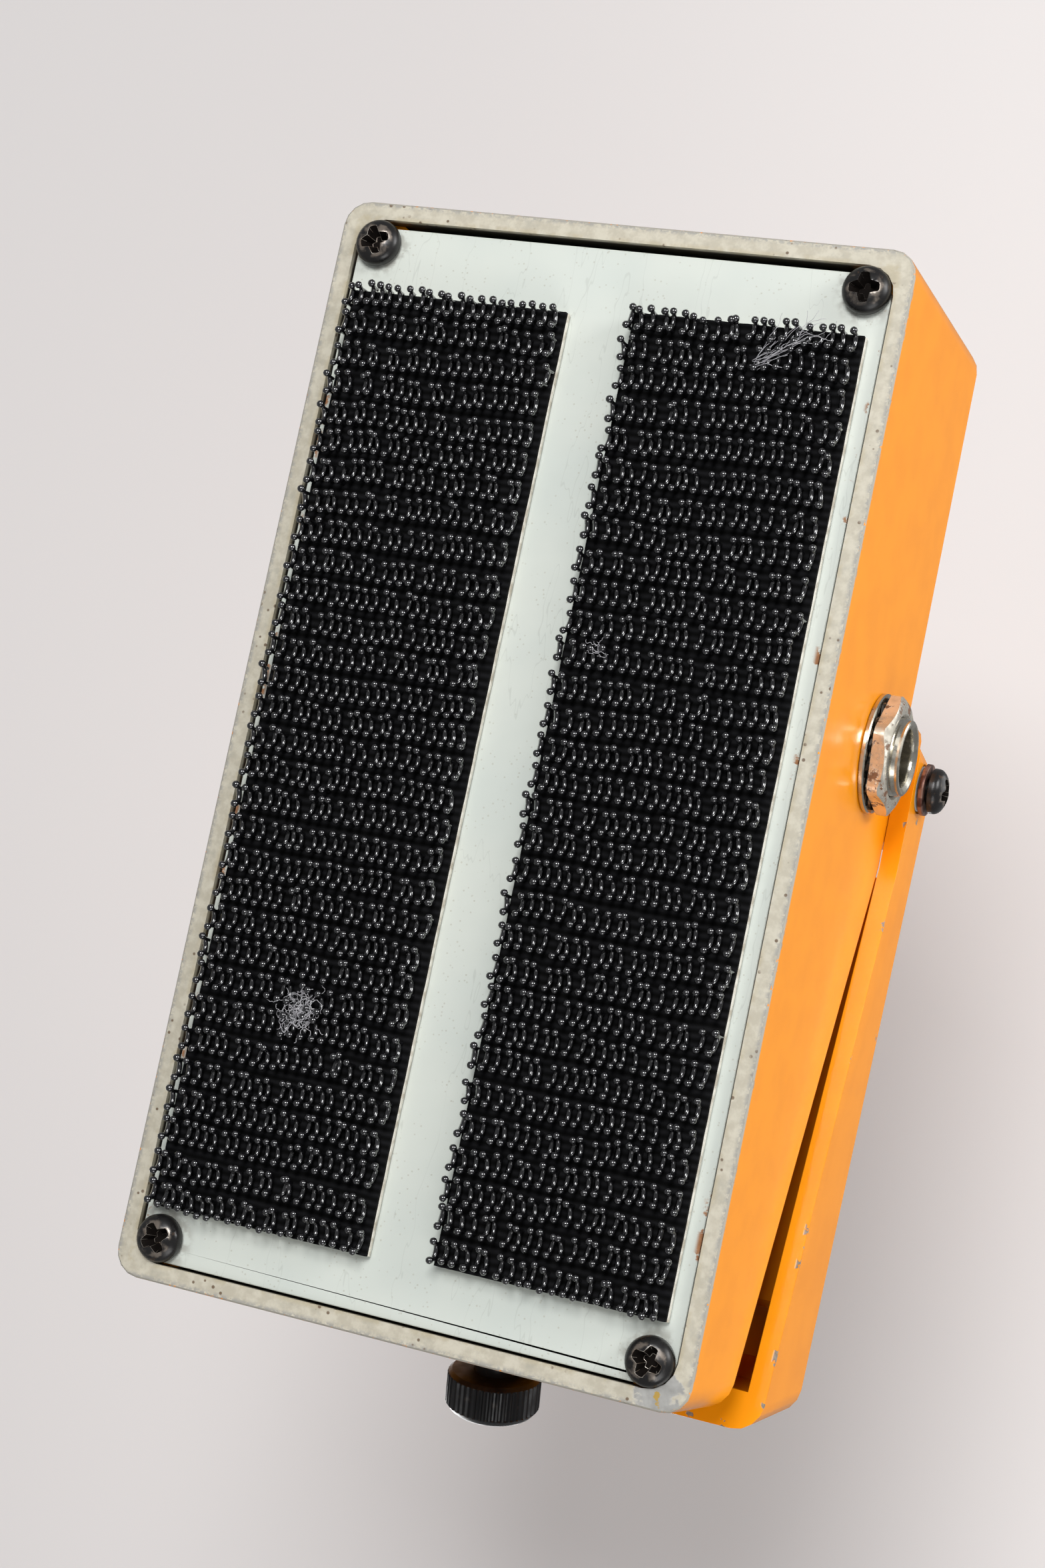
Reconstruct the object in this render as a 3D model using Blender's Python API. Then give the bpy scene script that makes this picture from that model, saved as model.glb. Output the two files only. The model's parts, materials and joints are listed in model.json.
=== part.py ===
"""Compact foot pedal: a die-cast body with a sprung treadle, three knobs and two 6.35 mm jacks.

Metres, +Z up.  The pedal stands on the floor at z = 0 on two fastener strips, with its treadle end
towards -Y and its knobs towards +Y.  Heights called "above the rim" count from the body's bottom rim.
"""
import math

import bmesh
import bpy
from mathutils import Matrix, Vector

for leftover in list(bpy.data.objects):
    bpy.data.objects.remove(leftover, do_unlink=True)

MM = 0.001
GAP = 0.3 * MM               # clearance between two pieces that touch on the real pedal
OVERLAP = 0.6 * MM           # how far a cutter or a cast lug runs into its neighbour

# ---- driving sizes: body ----------------------------------------------------------------------
BODY_WIDTH = 68.6 * MM
BODY_LENGTH = 126.0 * MM
BODY_WALL = 2.0 * MM
BODY_CORNER = 3.0 * MM       # radius of the upright corners
EDGE_ROUND = 1.8 * MM        # radius of the top edges
FRONT_EDGE_HEIGHT = 15.2 * MM
SIDE_TOP_HEIGHT = 34.6 * MM  # where the sloping side edge ends
PANEL_HEIGHT = 36.8 * MM     # knob panel above the rim
PANEL_LENGTH = 44.5 * MM
BRIDGE_LENGTH = 15.5 * MM    # raised bridge that carries the hinge and the lamp
BRIDGE_HEIGHT = 45.2 * MM
CASTING_FLOOR = 2.0 * MM

# ---- driving sizes: base ----------------------------------------------------------------------
STRIP_THICKNESS = 3.2 * MM
STRIP_WIDTH = 27.0 * MM
STRIP_LENGTH = 107.0 * MM
STRIP_PLACES = ((17.5 * MM, -1.2 * MM), (-17.0 * MM, -0.4 * MM))   # from the body's centre
PLATE_RECESS = 0.6 * MM
PLATE_THICKNESS = 1.2 * MM
PLATE_CORNER = 3.0 * MM
BASE_SCREW_X = 29.3 * MM
BASE_SCREW_INSET = 4.9 * MM  # from the body's ends to the screws
SCREW_HEAD_RADIUS = 2.7 * MM
SCREW_HEAD_HEIGHT = 2.0 * MM
SCREW_SHANK_RADIUS = 1.4 * MM
BASE_SCREW_REACH = 5.4 * MM  # shank above the plate

# ---- driving sizes: treadle -------------------------------------------------------------------
TREADLE_WALL = 2.0 * MM
TREADLE_LIP = 4.2 * MM       # thickness of the front wall
TREADLE_TOP = 3.0 * MM
TREADLE_OVERHANG = 2.3 * MM  # front of the treadle ahead of the body
TREADLE_REAR_TOP_HEIGHT = 44.7 * MM
TREADLE_TOP_SLOPE = 0.075
TREADLE_EDGE_SLOPE = 0.2
TREADLE_EAR_RADIUS = 5.5 * MM
TREADLE_EDGE_ROUND = 2.2 * MM
TREADLE_CORNER = 3.2 * MM
TREADLE_SLOT = 3.6 * MM      # between the treadle's top and the bridge
HINGE_SETBACK = 7.4 * MM     # hinge axis behind the bridge's front face
HINGE_HEIGHT = 38.6 * MM
PRESS_ANGLE = 4.3            # degrees from rest to the stops
OPEN_ANGLE = 65.0            # degrees from rest to the battery-change position
PAD_THICKNESS = 2.6 * MM
PAD_POCKET = 1.0 * MM
PAD_MARGIN = 4.5 * MM
PAD_LENGTH = 46.0 * MM

# ---- driving sizes: fittings ------------------------------------------------------------------
JACK_BEHIND_BRIDGE_FRONT = 8.6 * MM
JACK_HEIGHT = 22.8 * MM
JACK_BUSH_RADIUS = 4.5 * MM
JACK_BORE_RADIUS = 3.25 * MM
JACK_BODY = (20.0 * MM, 14.0 * MM, 13.6 * MM)
JACK_WASHER_RADIUS = 6.9 * MM
JACK_WASHER_THICKNESS = 0.5 * MM
LOCK_WASHER_RADIUS = 6.2 * MM
LOCK_WASHER_THICKNESS = 0.4 * MM
JACK_NUT_FLATS = 12.7 * MM
JACK_NUT_THICKNESS = 1.4 * MM
JACK_BUSH_PROUD = 0.7 * MM   # bush beyond its nut
KNOB_SPACING = 20.5 * MM
KNOB_FROM_REAR = 21.0 * MM
KNOB_RADIUS = 7.4 * MM
KNOB_TOP_RADIUS = 6.3 * MM
KNOB_HEIGHT = 16.0 * MM
KNOB_TURN = 150.0            # degrees either way from the middle
POT_RADIUS = 8.0 * MM
POT_HEIGHT = 8.0 * MM
POT_BUSH_RADIUS = 3.5 * MM
POT_NUT_FLATS = 10.0 * MM
POT_NUT_THICKNESS = 2.0 * MM
SHAFT_RADIUS = 3.0 * MM
THUMB_X = -3.2 * MM
THUMB_HEIGHT = 26.6 * MM     # axis above the rim at the lip's front face
THUMB_TILT = 18.0            # degrees that its head looks upwards
THUMB_RADIUS = 5.5 * MM
THUMB_HEAD = 5.0 * MM
THUMB_HEAD_ROUND = 0.8 * MM
THUMB_REACH = 13.6 * MM      # shank behind the lip's front face
BATTERY = (48.5 * MM, 26.5 * MM, 17.5 * MM)
POCKET_LENGTH = 30.0 * MM
BOARD_THICKNESS = 1.6 * MM
BOARD_HEIGHT = 7.0 * MM

# ---- places that follow from them -------------------------------------------------------------
tilt = math.radians(THUMB_TILT)
HEAD_SEAT = THUMB_RADIUS * math.tan(tilt) + GAP - 1.2 * MM
THUMB_PROJECTION = (math.cos(tilt) * (HEAD_SEAT + THUMB_HEAD)
                    + math.sin(tilt) * (THUMB_RADIUS - THUMB_HEAD_ROUND))
HALF_WIDTH = BODY_WIDTH / 2
BODY_CENTRE_Y = (TREADLE_OVERHANG + THUMB_PROJECTION) / 2   # so the whole pedal is centred on y = 0
FRONT_Y = BODY_CENTRE_Y - BODY_LENGTH / 2
REAR_Y = BODY_CENTRE_Y + BODY_LENGTH / 2
PLATE_Z = STRIP_THICKNESS + GAP
RIM_Z = PLATE_Z - PLATE_RECESS
PLATE_TOP_Z = PLATE_Z + PLATE_THICKNESS
SEAT_Z = PLATE_TOP_Z + GAP
PANEL_Z = RIM_Z + PANEL_HEIGHT
PANEL_UNDER_Z = PANEL_Z - CASTING_FLOOR
PANEL_FRONT_Y = REAR_Y - PANEL_LENGTH
BRIDGE_FRONT_Y = PANEL_FRONT_Y - BRIDGE_LENGTH
BRIDGE_Z = RIM_Z + BRIDGE_HEIGHT
SLOPE_END_Y = BRIDGE_FRONT_Y - 3.0 * MM
HINGE_Y = BRIDGE_FRONT_Y + HINGE_SETBACK
HINGE_Z = RIM_Z + HINGE_HEIGHT
INNER_X = HALF_WIDTH - BODY_WALL
POCKET_REAR_Y = BRIDGE_FRONT_Y - 7.0 * MM
POCKET_FRONT_Y = POCKET_REAR_Y - POCKET_LENGTH
POCKET_FLOOR_Z = SEAT_Z + 1.5 * MM
BAY_FRONT_Y = FRONT_Y + 2.5 * MM
BAY_REAR_Y = POCKET_FRONT_Y - BODY_WALL
BAY_FLOOR_Z = RIM_Z + 10.0 * MM
JACK_Y = BRIDGE_FRONT_Y + JACK_BEHIND_BRIDGE_FRONT
JACK_Z = RIM_Z + JACK_HEIGHT
KNOB_Y = REAR_Y - KNOB_FROM_REAR
KNOB_PLACES = (-KNOB_SPACING, 0.0, KNOB_SPACING)
EAR_INNER_X = HALF_WIDTH + GAP
EAR_OUTER_X = EAR_INNER_X + TREADLE_WALL
TREADLE_FRONT_Y = FRONT_Y - TREADLE_OVERHANG
TREADLE_REAR_Y = HINGE_Y + TREADLE_EAR_RADIUS
BOARD_Z = RIM_Z + BOARD_HEIGHT


def side_edge_z(y):
    """Top edge of the body's side, which slopes down to the front."""
    share = (y - FRONT_Y) / (SLOPE_END_Y - FRONT_Y)
    return RIM_Z + FRONT_EDGE_HEIGHT + share * (SIDE_TOP_HEIGHT - FRONT_EDGE_HEIGHT)


def treadle_top_z(y):
    """Top of the treadle at rest."""
    return RIM_Z + TREADLE_REAR_TOP_HEIGHT + TREADLE_TOP_SLOPE * (y - BRIDGE_FRONT_Y)


def treadle_edge_z(y):
    """Lower edge of the treadle's flanges and lip at rest."""
    return RIM_Z + SIDE_TOP_HEIGHT + TREADLE_EDGE_SLOPE * min(y - SLOPE_END_Y, 0.0)


# ---- shape helpers ----------------------------------------------------------------------------
def material(name, colour, roughness, metallic=0.0):
    """A plain finish for one piece."""
    finish = bpy.data.materials.get(name) or bpy.data.materials.new(name)
    finish.use_nodes = True
    shader = finish.node_tree.nodes["Principled BSDF"]
    shader.inputs["Base Color"].default_value = (*colour, 1.0)
    shader.inputs["Roughness"].default_value = roughness
    shader.inputs["Metallic"].default_value = metallic
    return finish


def piece(name, mesh_builder, finish):
    """Turn a finished bmesh into a named object."""
    bmesh.ops.recalc_face_normals(mesh_builder, faces=mesh_builder.faces)
    mesh = bpy.data.meshes.new(name)
    mesh_builder.to_mesh(mesh)
    mesh_builder.free()
    mesh.materials.append(finish)
    mesh.shade_smooth()
    mesh.set_sharp_from_angle(angle=math.radians(35))
    made = bpy.data.objects.new(name, mesh)
    bpy.context.collection.objects.link(made)
    return made


def tool(name, mesh_builder):
    """A shape that only cuts or joins, left out of the model."""
    made = piece(name, mesh_builder, CAST)
    made.hide_render = True
    made.display_type = "WIRE"
    return made


def combine(target, operation, helper):
    """Cut, join or trim a piece with a tool."""
    step = target.modifiers.new(helper.name, "BOOLEAN")
    step.operation = operation
    step.solver = "EXACT"
    step.object = helper


def cut(target, name, mesh_builder):
    combine(target, "DIFFERENCE", tool(name, mesh_builder))


def join(target, name, mesh_builder):
    combine(target, "UNION", tool(name, mesh_builder))


def set_axis(made, point):
    """Put a piece's origin on its joint's axis, without moving its shape."""
    made.data.transform(Matrix.Translation(-Vector(point)))
    made.location = point


def prism(outline, axis, low, high):
    """Extrude an outline along X, Y or Z; it holds the two other coordinates in their usual order."""
    def at(point, along):
        first, second = point
        if axis == "X":
            return (along, first, second)
        if axis == "Y":
            return (first, along, second)
        return (first, second, along)

    built = bmesh.new()
    bottom = [built.verts.new(at(point, low)) for point in outline]
    top = [built.verts.new(at(point, high)) for point in outline]
    built.faces.new(bottom)
    built.faces.new(top)
    count = len(outline)
    for index in range(count):
        after = (index + 1) % count
        built.faces.new((bottom[index], bottom[after], top[after], top[index]))
    bmesh.ops.recalc_face_normals(built, faces=built.faces)
    return built


def box(low, high):
    """A block between two corners."""
    outline = [(low[0], low[1]), (high[0], low[1]), (high[0], high[1]), (low[0], high[1])]
    return prism(outline, "Z", low[2], high[2])


def rounded_outline(low, high, radius, steps=4):
    """A rectangle with round corners, counter-clockwise."""
    points = []
    centres = ((high[0] - radius, high[1] - radius), (low[0] + radius, high[1] - radius),
               (low[0] + radius, low[1] + radius), (high[0] - radius, low[1] + radius))
    for quarter, (centre_x, centre_y) in enumerate(centres):
        for step in range(steps + 1):
            angle = math.pi / 2 * (quarter + step / steps)
            points.append((centre_x + radius * math.cos(angle), centre_y + radius * math.sin(angle)))
    return points


def hexagon(flats):
    """Corners of a hexagon of a given width across flats."""
    radius = flats / 2 / math.cos(math.pi / 6)
    return [(radius * math.cos(k * math.pi / 3), radius * math.sin(k * math.pi / 3)) for k in range(6)]


def turned(profile, start, direction, sides=24, closed=False):
    """Turn (radius, distance) points about an axis; a closed profile makes a ring."""
    built = bmesh.new()
    rings = []
    for radius, along in profile:
        if radius == 0.0:
            rings.append([built.verts.new((0.0, 0.0, along))])
            continue
        rings.append([built.verts.new((radius * math.cos(2 * math.pi * k / sides),
                                       radius * math.sin(2 * math.pi * k / sides), along))
                      for k in range(sides)])
    pairs = list(zip(rings, rings[1:]))
    if closed:
        pairs.append((rings[-1], rings[0]))
    for lower, upper in pairs:
        for k in range(sides):
            after = (k + 1) % sides
            corners = [lower[k % len(lower)], lower[after % len(lower)],
                       upper[after % len(upper)], upper[k % len(upper)]]
            unique = list(dict.fromkeys(corners))
            if len(unique) > 2:
                built.faces.new(unique)
    if not closed:
        for ring in (rings[0], rings[-1]):
            if len(ring) > 1:
                built.faces.new(ring)
    aim = Vector(direction).to_track_quat("Z", "Y").to_matrix().to_4x4()
    bmesh.ops.transform(built, matrix=Matrix.Translation(Vector(start)) @ aim, verts=built.verts)
    bmesh.ops.recalc_face_normals(built, faces=built.faces)
    return built


def rod(radius, start, direction, length, sides=16):
    """A plain round bar."""
    return turned([(radius, 0.0), (radius, length)], start, direction, sides)


def ring(inner, outer, start, direction, thickness, sides=24):
    """A flat washer."""
    profile = [(inner, 0.0), (outer, 0.0), (outer, thickness), (inner, thickness)]
    return turned(profile, start, direction, sides, closed=True)


def bevel_edges(built, wanted, radius, segments=3):
    """Round the edges that a test picks."""
    built.normal_update()
    chosen = [edge for edge in built.edges if wanted(edge)]
    bmesh.ops.bevel(built, geom=chosen, offset=radius, offset_type="OFFSET", segments=segments,
                    profile=0.5, affect="EDGES", clamp_overlap=True)


def middle(edge):
    return (edge.verts[0].co + edge.verts[1].co) / 2


def is_upright(edge):
    run = edge.verts[1].co - edge.verts[0].co
    return abs(run.z) > 0.9 * run.length


def pan_screw(name, seat, direction, reach, head_radius=SCREW_HEAD_RADIUS,
              head_height=SCREW_HEAD_HEIGHT, shank_radius=SCREW_SHANK_RADIUS):
    """A pan-head screw: its head stands on the seat point, its shank runs the other way."""
    profile = [(0.0, -reach), (shank_radius, -reach), (shank_radius, 0.0), (head_radius, 0.0),
               (head_radius, 0.35 * head_height), (0.86 * head_radius, 0.75 * head_height),
               (0.55 * head_radius, 0.95 * head_height), (0.0, head_height)]
    return piece(name, turned(profile, seat, direction, sides=20), BLACK_STEEL)


CAST = material("orange_enamel", (0.95, 0.38, 0.03), 0.3)
PLATE_PAINT = material("grey_painted_steel", (0.62, 0.66, 0.62), 0.5)
BLACK_STEEL = material("black_steel", (0.03, 0.03, 0.03), 0.4, 0.8)
NICKEL = material("nickel", (0.72, 0.69, 0.62), 0.3, 1.0)
DARK_STEEL = material("dark_steel", (0.12, 0.11, 0.1), 0.5, 0.9)
SPRING_STEEL = material("spring_steel", (0.55, 0.55, 0.56), 0.3, 1.0)
FASTENER = material("black_fastener", (0.02, 0.02, 0.02), 0.4)
RUBBER = material("black_rubber", (0.03, 0.03, 0.03), 0.8)
PLASTIC = material("black_plastic", (0.03, 0.03, 0.03), 0.35)
NYLON = material("white_nylon", (0.85, 0.84, 0.8), 0.5)
BOARD_GREEN = material("board_green", (0.05, 0.25, 0.1), 0.5)
SHEET_GREY = material("grey_sheet", (0.3, 0.3, 0.31), 0.7)
LAMP_RED = material("lamp_red", (0.7, 0.02, 0.02), 0.2)
BATTERY_SKIN = material("battery_skin", (0.1, 0.12, 0.2), 0.4)
FOAM = material("grey_foam", (0.2, 0.2, 0.2), 0.9)
LEAD_RED = material("lead_red", (0.6, 0.03, 0.02), 0.5)

# ---- body shell: one casting, open below, with the treadle's bay and the battery pocket on top ----
side_profile = [
    (FRONT_Y, RIM_Z), (FRONT_Y, side_edge_z(FRONT_Y)), (SLOPE_END_Y, side_edge_z(SLOPE_END_Y)),
    (BRIDGE_FRONT_Y, side_edge_z(SLOPE_END_Y)), (BRIDGE_FRONT_Y, BRIDGE_Z),
    (PANEL_FRONT_Y, BRIDGE_Z), (PANEL_FRONT_Y, PANEL_Z), (REAR_Y, PANEL_Z), (REAR_Y, RIM_Z)]
shell_mesh = prism(side_profile, "X", -HALF_WIDTH, HALF_WIDTH)
bevel_edges(shell_mesh,
            lambda edge: is_upright(edge) and min(abs(middle(edge).y - FRONT_Y), abs(middle(edge).y - REAR_Y)) < MM,
            BODY_CORNER, segments=4)
# The edges that the treadle covers stay sharp; the bridge's and the panel's are rounded.
bevel_edges(shell_mesh,
            lambda edge: (edge.is_convex and edge.calc_face_angle(0.0) > math.radians(30)
                          and middle(edge).z > RIM_Z + MM and middle(edge).y > BRIDGE_FRONT_Y - 0.5 * MM),
            EDGE_ROUND, segments=3)
shell = piece("body_shell", shell_mesh, CAST)

HOLLOW_Z = SEAT_Z - 0.1 * MM    # the hollows start just below the plate's seat
BRIDGE_UNDER_Z = BRIDGE_Z - CASTING_FLOOR
DECK_UNDER_Z = RIM_Z + SIDE_TOP_HEIGHT - 2.8 * MM
HOLLOW_FRONT_Y = POCKET_REAR_Y + BODY_WALL
rear_hollow = [
    (HOLLOW_FRONT_Y, HOLLOW_Z), (HOLLOW_FRONT_Y, DECK_UNDER_Z), (BRIDGE_FRONT_Y + BODY_WALL, DECK_UNDER_Z),
    (BRIDGE_FRONT_Y + BODY_WALL, BRIDGE_UNDER_Z), (PANEL_FRONT_Y - BODY_WALL, BRIDGE_UNDER_Z),
    (PANEL_FRONT_Y - BODY_WALL, PANEL_UNDER_Z), (REAR_Y - BODY_WALL, PANEL_UNDER_Z), (REAR_Y - BODY_WALL, HOLLOW_Z)]
cut(shell, "cut_rear_hollow", prism(rear_hollow, "X", -INNER_X, INNER_X))
cut(shell, "cut_front_hollow", box((-INNER_X, FRONT_Y + BODY_WALL, HOLLOW_Z),
                                   (INNER_X, BAY_REAR_Y - OVERLAP, BAY_FLOOR_Z - CASTING_FLOOR)))
cut(shell, "cut_plate_opening", prism(rounded_outline((-INNER_X, FRONT_Y + BODY_WALL), (INNER_X, REAR_Y - BODY_WALL),
                                                      PLATE_CORNER + GAP), "Z", RIM_Z - OVERLAP, SEAT_Z))
cut(shell, "cut_battery_pocket", box((-INNER_X, POCKET_FRONT_Y, POCKET_FLOOR_Z),
                                     (INNER_X, POCKET_REAR_Y, BRIDGE_Z)))
cut(shell, "cut_front_bay", box((-INNER_X, BAY_FRONT_Y, BAY_FLOOR_Z), (INNER_X, BAY_REAR_Y, BRIDGE_Z)))

SCREW_PLACES = [(side * BASE_SCREW_X, screw_y) for screw_y in (REAR_Y - BASE_SCREW_INSET, FRONT_Y + BASE_SCREW_INSET)
                for side in (1, -1)]
for number, (screw_x, screw_y) in enumerate(SCREW_PLACES, start=1):
    roof_z = PANEL_UNDER_Z if screw_y > BODY_CENTRE_Y else BAY_FLOOR_Z - CASTING_FLOOR
    join(shell, f"post_{number}", rod(3.5 * MM, (screw_x, screw_y, SEAT_Z), (0, 0, 1), roof_z - SEAT_Z + OVERLAP))
for number, (screw_x, screw_y) in enumerate(SCREW_PLACES, start=1):
    cut(shell, f"cut_post_{number}", rod(SCREW_SHANK_RADIUS + GAP, (screw_x, screw_y, SEAT_Z - OVERLAP),
                                         (0, 0, 1), BASE_SCREW_REACH + OVERLAP, sides=12))

HINGE_SCREW_REACH = 8.5 * MM
for side in (1, -1):
    join(shell, f"hinge_boss_{side}", rod(4.0 * MM, (side * (INNER_X + OVERLAP), HINGE_Y, HINGE_Z),
                                          (-side, 0, 0), 7.0 * MM))
for side in (1, -1):
    cut(shell, f"cut_hinge_{side}", rod(1.5 * MM + GAP, (side * (HALF_WIDTH + OVERLAP), HINGE_Y, HINGE_Z),
                                        (-side, 0, 0), HINGE_SCREW_REACH, sides=12))
    cut(shell, f"cut_jack_{side}", rod(JACK_BUSH_RADIUS + GAP, (side * (HALF_WIDTH + OVERLAP), JACK_Y, JACK_Z),
                                       (-side, 0, 0), BODY_WALL + 2 * OVERLAP, sides=24))
for number, knob_x in enumerate(KNOB_PLACES, start=1):
    cut(shell, f"cut_pot_{number}", rod(POT_BUSH_RADIUS + GAP, (knob_x, KNOB_Y, PANEL_UNDER_Z - OVERLAP),
                                        (0, 0, 1), CASTING_FLOOR + 2 * OVERLAP, sides=16))

LAMP_Y = (BRIDGE_FRONT_Y + PANEL_FRONT_Y) / 2
BEZEL_RADIUS = 2.5 * MM
cut(shell, "cut_lamp", rod(BEZEL_RADIUS + GAP, (0, LAMP_Y, BRIDGE_UNDER_Z - OVERLAP), (0, 0, 1),
                           CASTING_FLOOR + 2 * OVERLAP, sides=16))

DC_X = 20.0 * MM
DC_Z = RIM_Z + 19.5 * MM
DC_BARREL_RADIUS = 5.0 * MM
cut(shell, "cut_dc_jack", rod(DC_BARREL_RADIUS + GAP, (DC_X, REAR_Y + OVERLAP, DC_Z), (0, -1, 0),
                              BODY_WALL + 2 * OVERLAP, sides=24))

BOARD_POSTS = ((0.0, PANEL_FRONT_Y + 6.5 * MM), (-10.0 * MM, REAR_Y - 7.5 * MM), (10.0 * MM, REAR_Y - 7.5 * MM))
BOARD_SCREW_RADIUS = 1.1 * MM
POST_FOOT_Z = BOARD_Z + BOARD_THICKNESS + GAP
for number, (post_x, post_y) in enumerate(BOARD_POSTS, start=1):
    join(shell, f"board_post_{number}", rod(2.6 * MM, (post_x, post_y, POST_FOOT_Z), (0, 0, 1),
                                            PANEL_UNDER_Z - POST_FOOT_Z + OVERLAP, sides=12))
for number, (post_x, post_y) in enumerate(BOARD_POSTS, start=1):
    cut(shell, f"cut_board_post_{number}", rod(BOARD_SCREW_RADIUS + GAP, (post_x, post_y, POST_FOOT_Z - OVERLAP),
                                               (0, 0, 1), 6.0 * MM, sides=10))
LEAD_HOLE = (24.0 * MM, POCKET_REAR_Y + BODY_WALL / 2, RIM_Z + 22.0 * MM)
cut(shell, "cut_lead_hole", rod(3.0 * MM, Vector(LEAD_HOLE) - Vector((0, BODY_WALL, 0)), (0, 1, 0),
                                2 * BODY_WALL, sides=16))
FORK_Y = FRONT_Y + 9.3 * MM
FORK_SCREW = (THUMB_X, FORK_Y + 6.0 * MM)
cut(shell, "cut_fork_screw", rod(SCREW_SHANK_RADIUS + GAP, (*FORK_SCREW, BAY_FLOOR_Z + OVERLAP), (0, 0, -1),
                                 CASTING_FLOOR + 2 * OVERLAP, sides=12))

# ---- base plate and its screws ------------------------------------------------------------------
PLATE_REAR_GAP = 0.8 * MM
plate = piece("base_plate", prism(rounded_outline(
    (-INNER_X + GAP, FRONT_Y + BODY_WALL + GAP), (INNER_X - GAP, REAR_Y - BODY_WALL - PLATE_REAR_GAP),
    PLATE_CORNER), "Z", PLATE_Z, PLATE_TOP_Z), PLATE_PAINT)
for number, (screw_x, screw_y) in enumerate(SCREW_PLACES, start=1):
    cut(plate, f"cut_plate_{number}", rod(SCREW_SHANK_RADIUS + GAP, (screw_x, screw_y, PLATE_Z - OVERLAP),
                                          (0, 0, 1), PLATE_THICKNESS + 2 * OVERLAP, sides=12))
    pan_screw(f"base_screw_{number}", (screw_x, screw_y, PLATE_Z - GAP), (0, 0, -1),
              GAP + PLATE_THICKNESS + BASE_SCREW_REACH - GAP)

# ---- two strips of mushroom-head fastener, which the pedal stands on ------------------------------
for number, (strip_x, strip_y) in enumerate(STRIP_PLACES, start=1):
    centre_y = BODY_CENTRE_Y + strip_y
    strip_mesh = box((strip_x - STRIP_WIDTH / 2, centre_y - STRIP_LENGTH / 2, 0.0),
                     (strip_x + STRIP_WIDTH / 2, centre_y + STRIP_LENGTH / 2, STRIP_THICKNESS))
    piece(f"fastener_strip_{number}", strip_mesh, FASTENER)

# ---- treadle: a casting whose flanges wrap outside the body and carry the hinge -------------------
LEAN = 1.3 * MM
treadle_profile = [
    (TREADLE_FRONT_Y, treadle_edge_z(TREADLE_FRONT_Y)),
    (TREADLE_FRONT_Y + LEAN, treadle_top_z(TREADLE_FRONT_Y + LEAN)),
    (TREADLE_REAR_Y - 2.2 * MM, treadle_top_z(TREADLE_REAR_Y)),
    (TREADLE_REAR_Y, treadle_edge_z(TREADLE_REAR_Y)),
    (SLOPE_END_Y, treadle_edge_z(SLOPE_END_Y))]
treadle_mesh = prism(treadle_profile, "X", -EAR_OUTER_X, EAR_OUTER_X)
bevel_edges(treadle_mesh,
            lambda edge: is_upright(edge) and middle(edge).y < TREADLE_FRONT_Y + LEAN,
            TREADLE_CORNER, segments=4)


def on_treadle_top(edge):
    centre = middle(edge)
    clear_of_lower_edge = centre.z > treadle_edge_z(centre.y) + MM
    return clear_of_lower_edge and edge.is_convex and edge.calc_face_angle(0.0) > math.radians(30)


bevel_edges(treadle_mesh, on_treadle_top, TREADLE_EDGE_ROUND, segments=3)
treadle = piece("treadle", treadle_mesh, CAST)
TOP_REAR_Y = BRIDGE_FRONT_Y - TREADLE_SLOT
LIP_INNER_Y = TREADLE_FRONT_Y + TREADLE_LIP
treadle_hollow = [
    (LIP_INNER_Y, RIM_Z), (LIP_INNER_Y, treadle_top_z(LIP_INNER_Y) - TREADLE_TOP),
    (TOP_REAR_Y, treadle_top_z(TOP_REAR_Y) - TREADLE_TOP), (TOP_REAR_Y, BRIDGE_Z + 10 * MM),
    (TREADLE_REAR_Y + 5 * MM, BRIDGE_Z + 10 * MM), (TREADLE_REAR_Y + 5 * MM, RIM_Z)]
cut(treadle, "cut_treadle_hollow", prism(treadle_hollow, "X", -EAR_INNER_X, EAR_INNER_X))


def treadle_under_z(y):
    return treadle_top_z(y) - TREADLE_TOP


STOP_Y = FRONT_Y + 8.3 * MM
STOP_X = INNER_X - 2.7 * MM
STOP_LUG_Z = RIM_Z + 27.0 * MM
for side in (1, -1):
    reach_x = sorted((side * (STOP_X - 2.4 * MM), side * (EAR_INNER_X + OVERLAP)))
    join(treadle, f"stop_lug_{side}", box((reach_x[0], STOP_Y - 2.8 * MM, STOP_LUG_Z),
                                          (reach_x[1], STOP_Y + 2.8 * MM, treadle_under_z(STOP_Y) + OVERLAP)))
EAR_HOLE_RADIUS = 3.0 * MM
for side in (1, -1):
    cut(treadle, f"cut_ear_{side}", rod(EAR_HOLE_RADIUS, (side * (EAR_INNER_X - OVERLAP), HINGE_Y, HINGE_Z),
                                        (side, 0, 0), TREADLE_WALL + 2 * OVERLAP, sides=20))
SPRING_X = 15.0 * MM
SPRING_Y = FRONT_Y + 17.0 * MM
SPRING_BASE_RADIUS = 3.8 * MM
join(treadle, "spring_base", rod(SPRING_BASE_RADIUS, (SPRING_X, SPRING_Y, treadle_under_z(SPRING_Y) + OVERLAP),
                                 (0, 0, -1), 6.0 * MM))
PAD_FRONT_Y = TREADLE_FRONT_Y + PAD_MARGIN
PAD_REAR_Y = PAD_FRONT_Y + PAD_LENGTH
PAD_HALF_WIDTH = EAR_OUTER_X - PAD_MARGIN


def pad_shape(margin, low, high, radius):
    """A slab that lies along the treadle's slope."""
    outline = rounded_outline((-PAD_HALF_WIDTH - margin, PAD_FRONT_Y - margin),
                              (PAD_HALF_WIDTH + margin, PAD_REAR_Y + margin), radius)
    slab = prism(outline, "Z", low, high)
    for corner in slab.verts:
        corner.co.z += treadle_top_z(corner.co.y)
    return slab


PAD_CORNER = 3.0 * MM
cut(treadle, "cut_pad_pocket", pad_shape(GAP, -PAD_POCKET, 3 * MM, PAD_CORNER + GAP))

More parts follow.
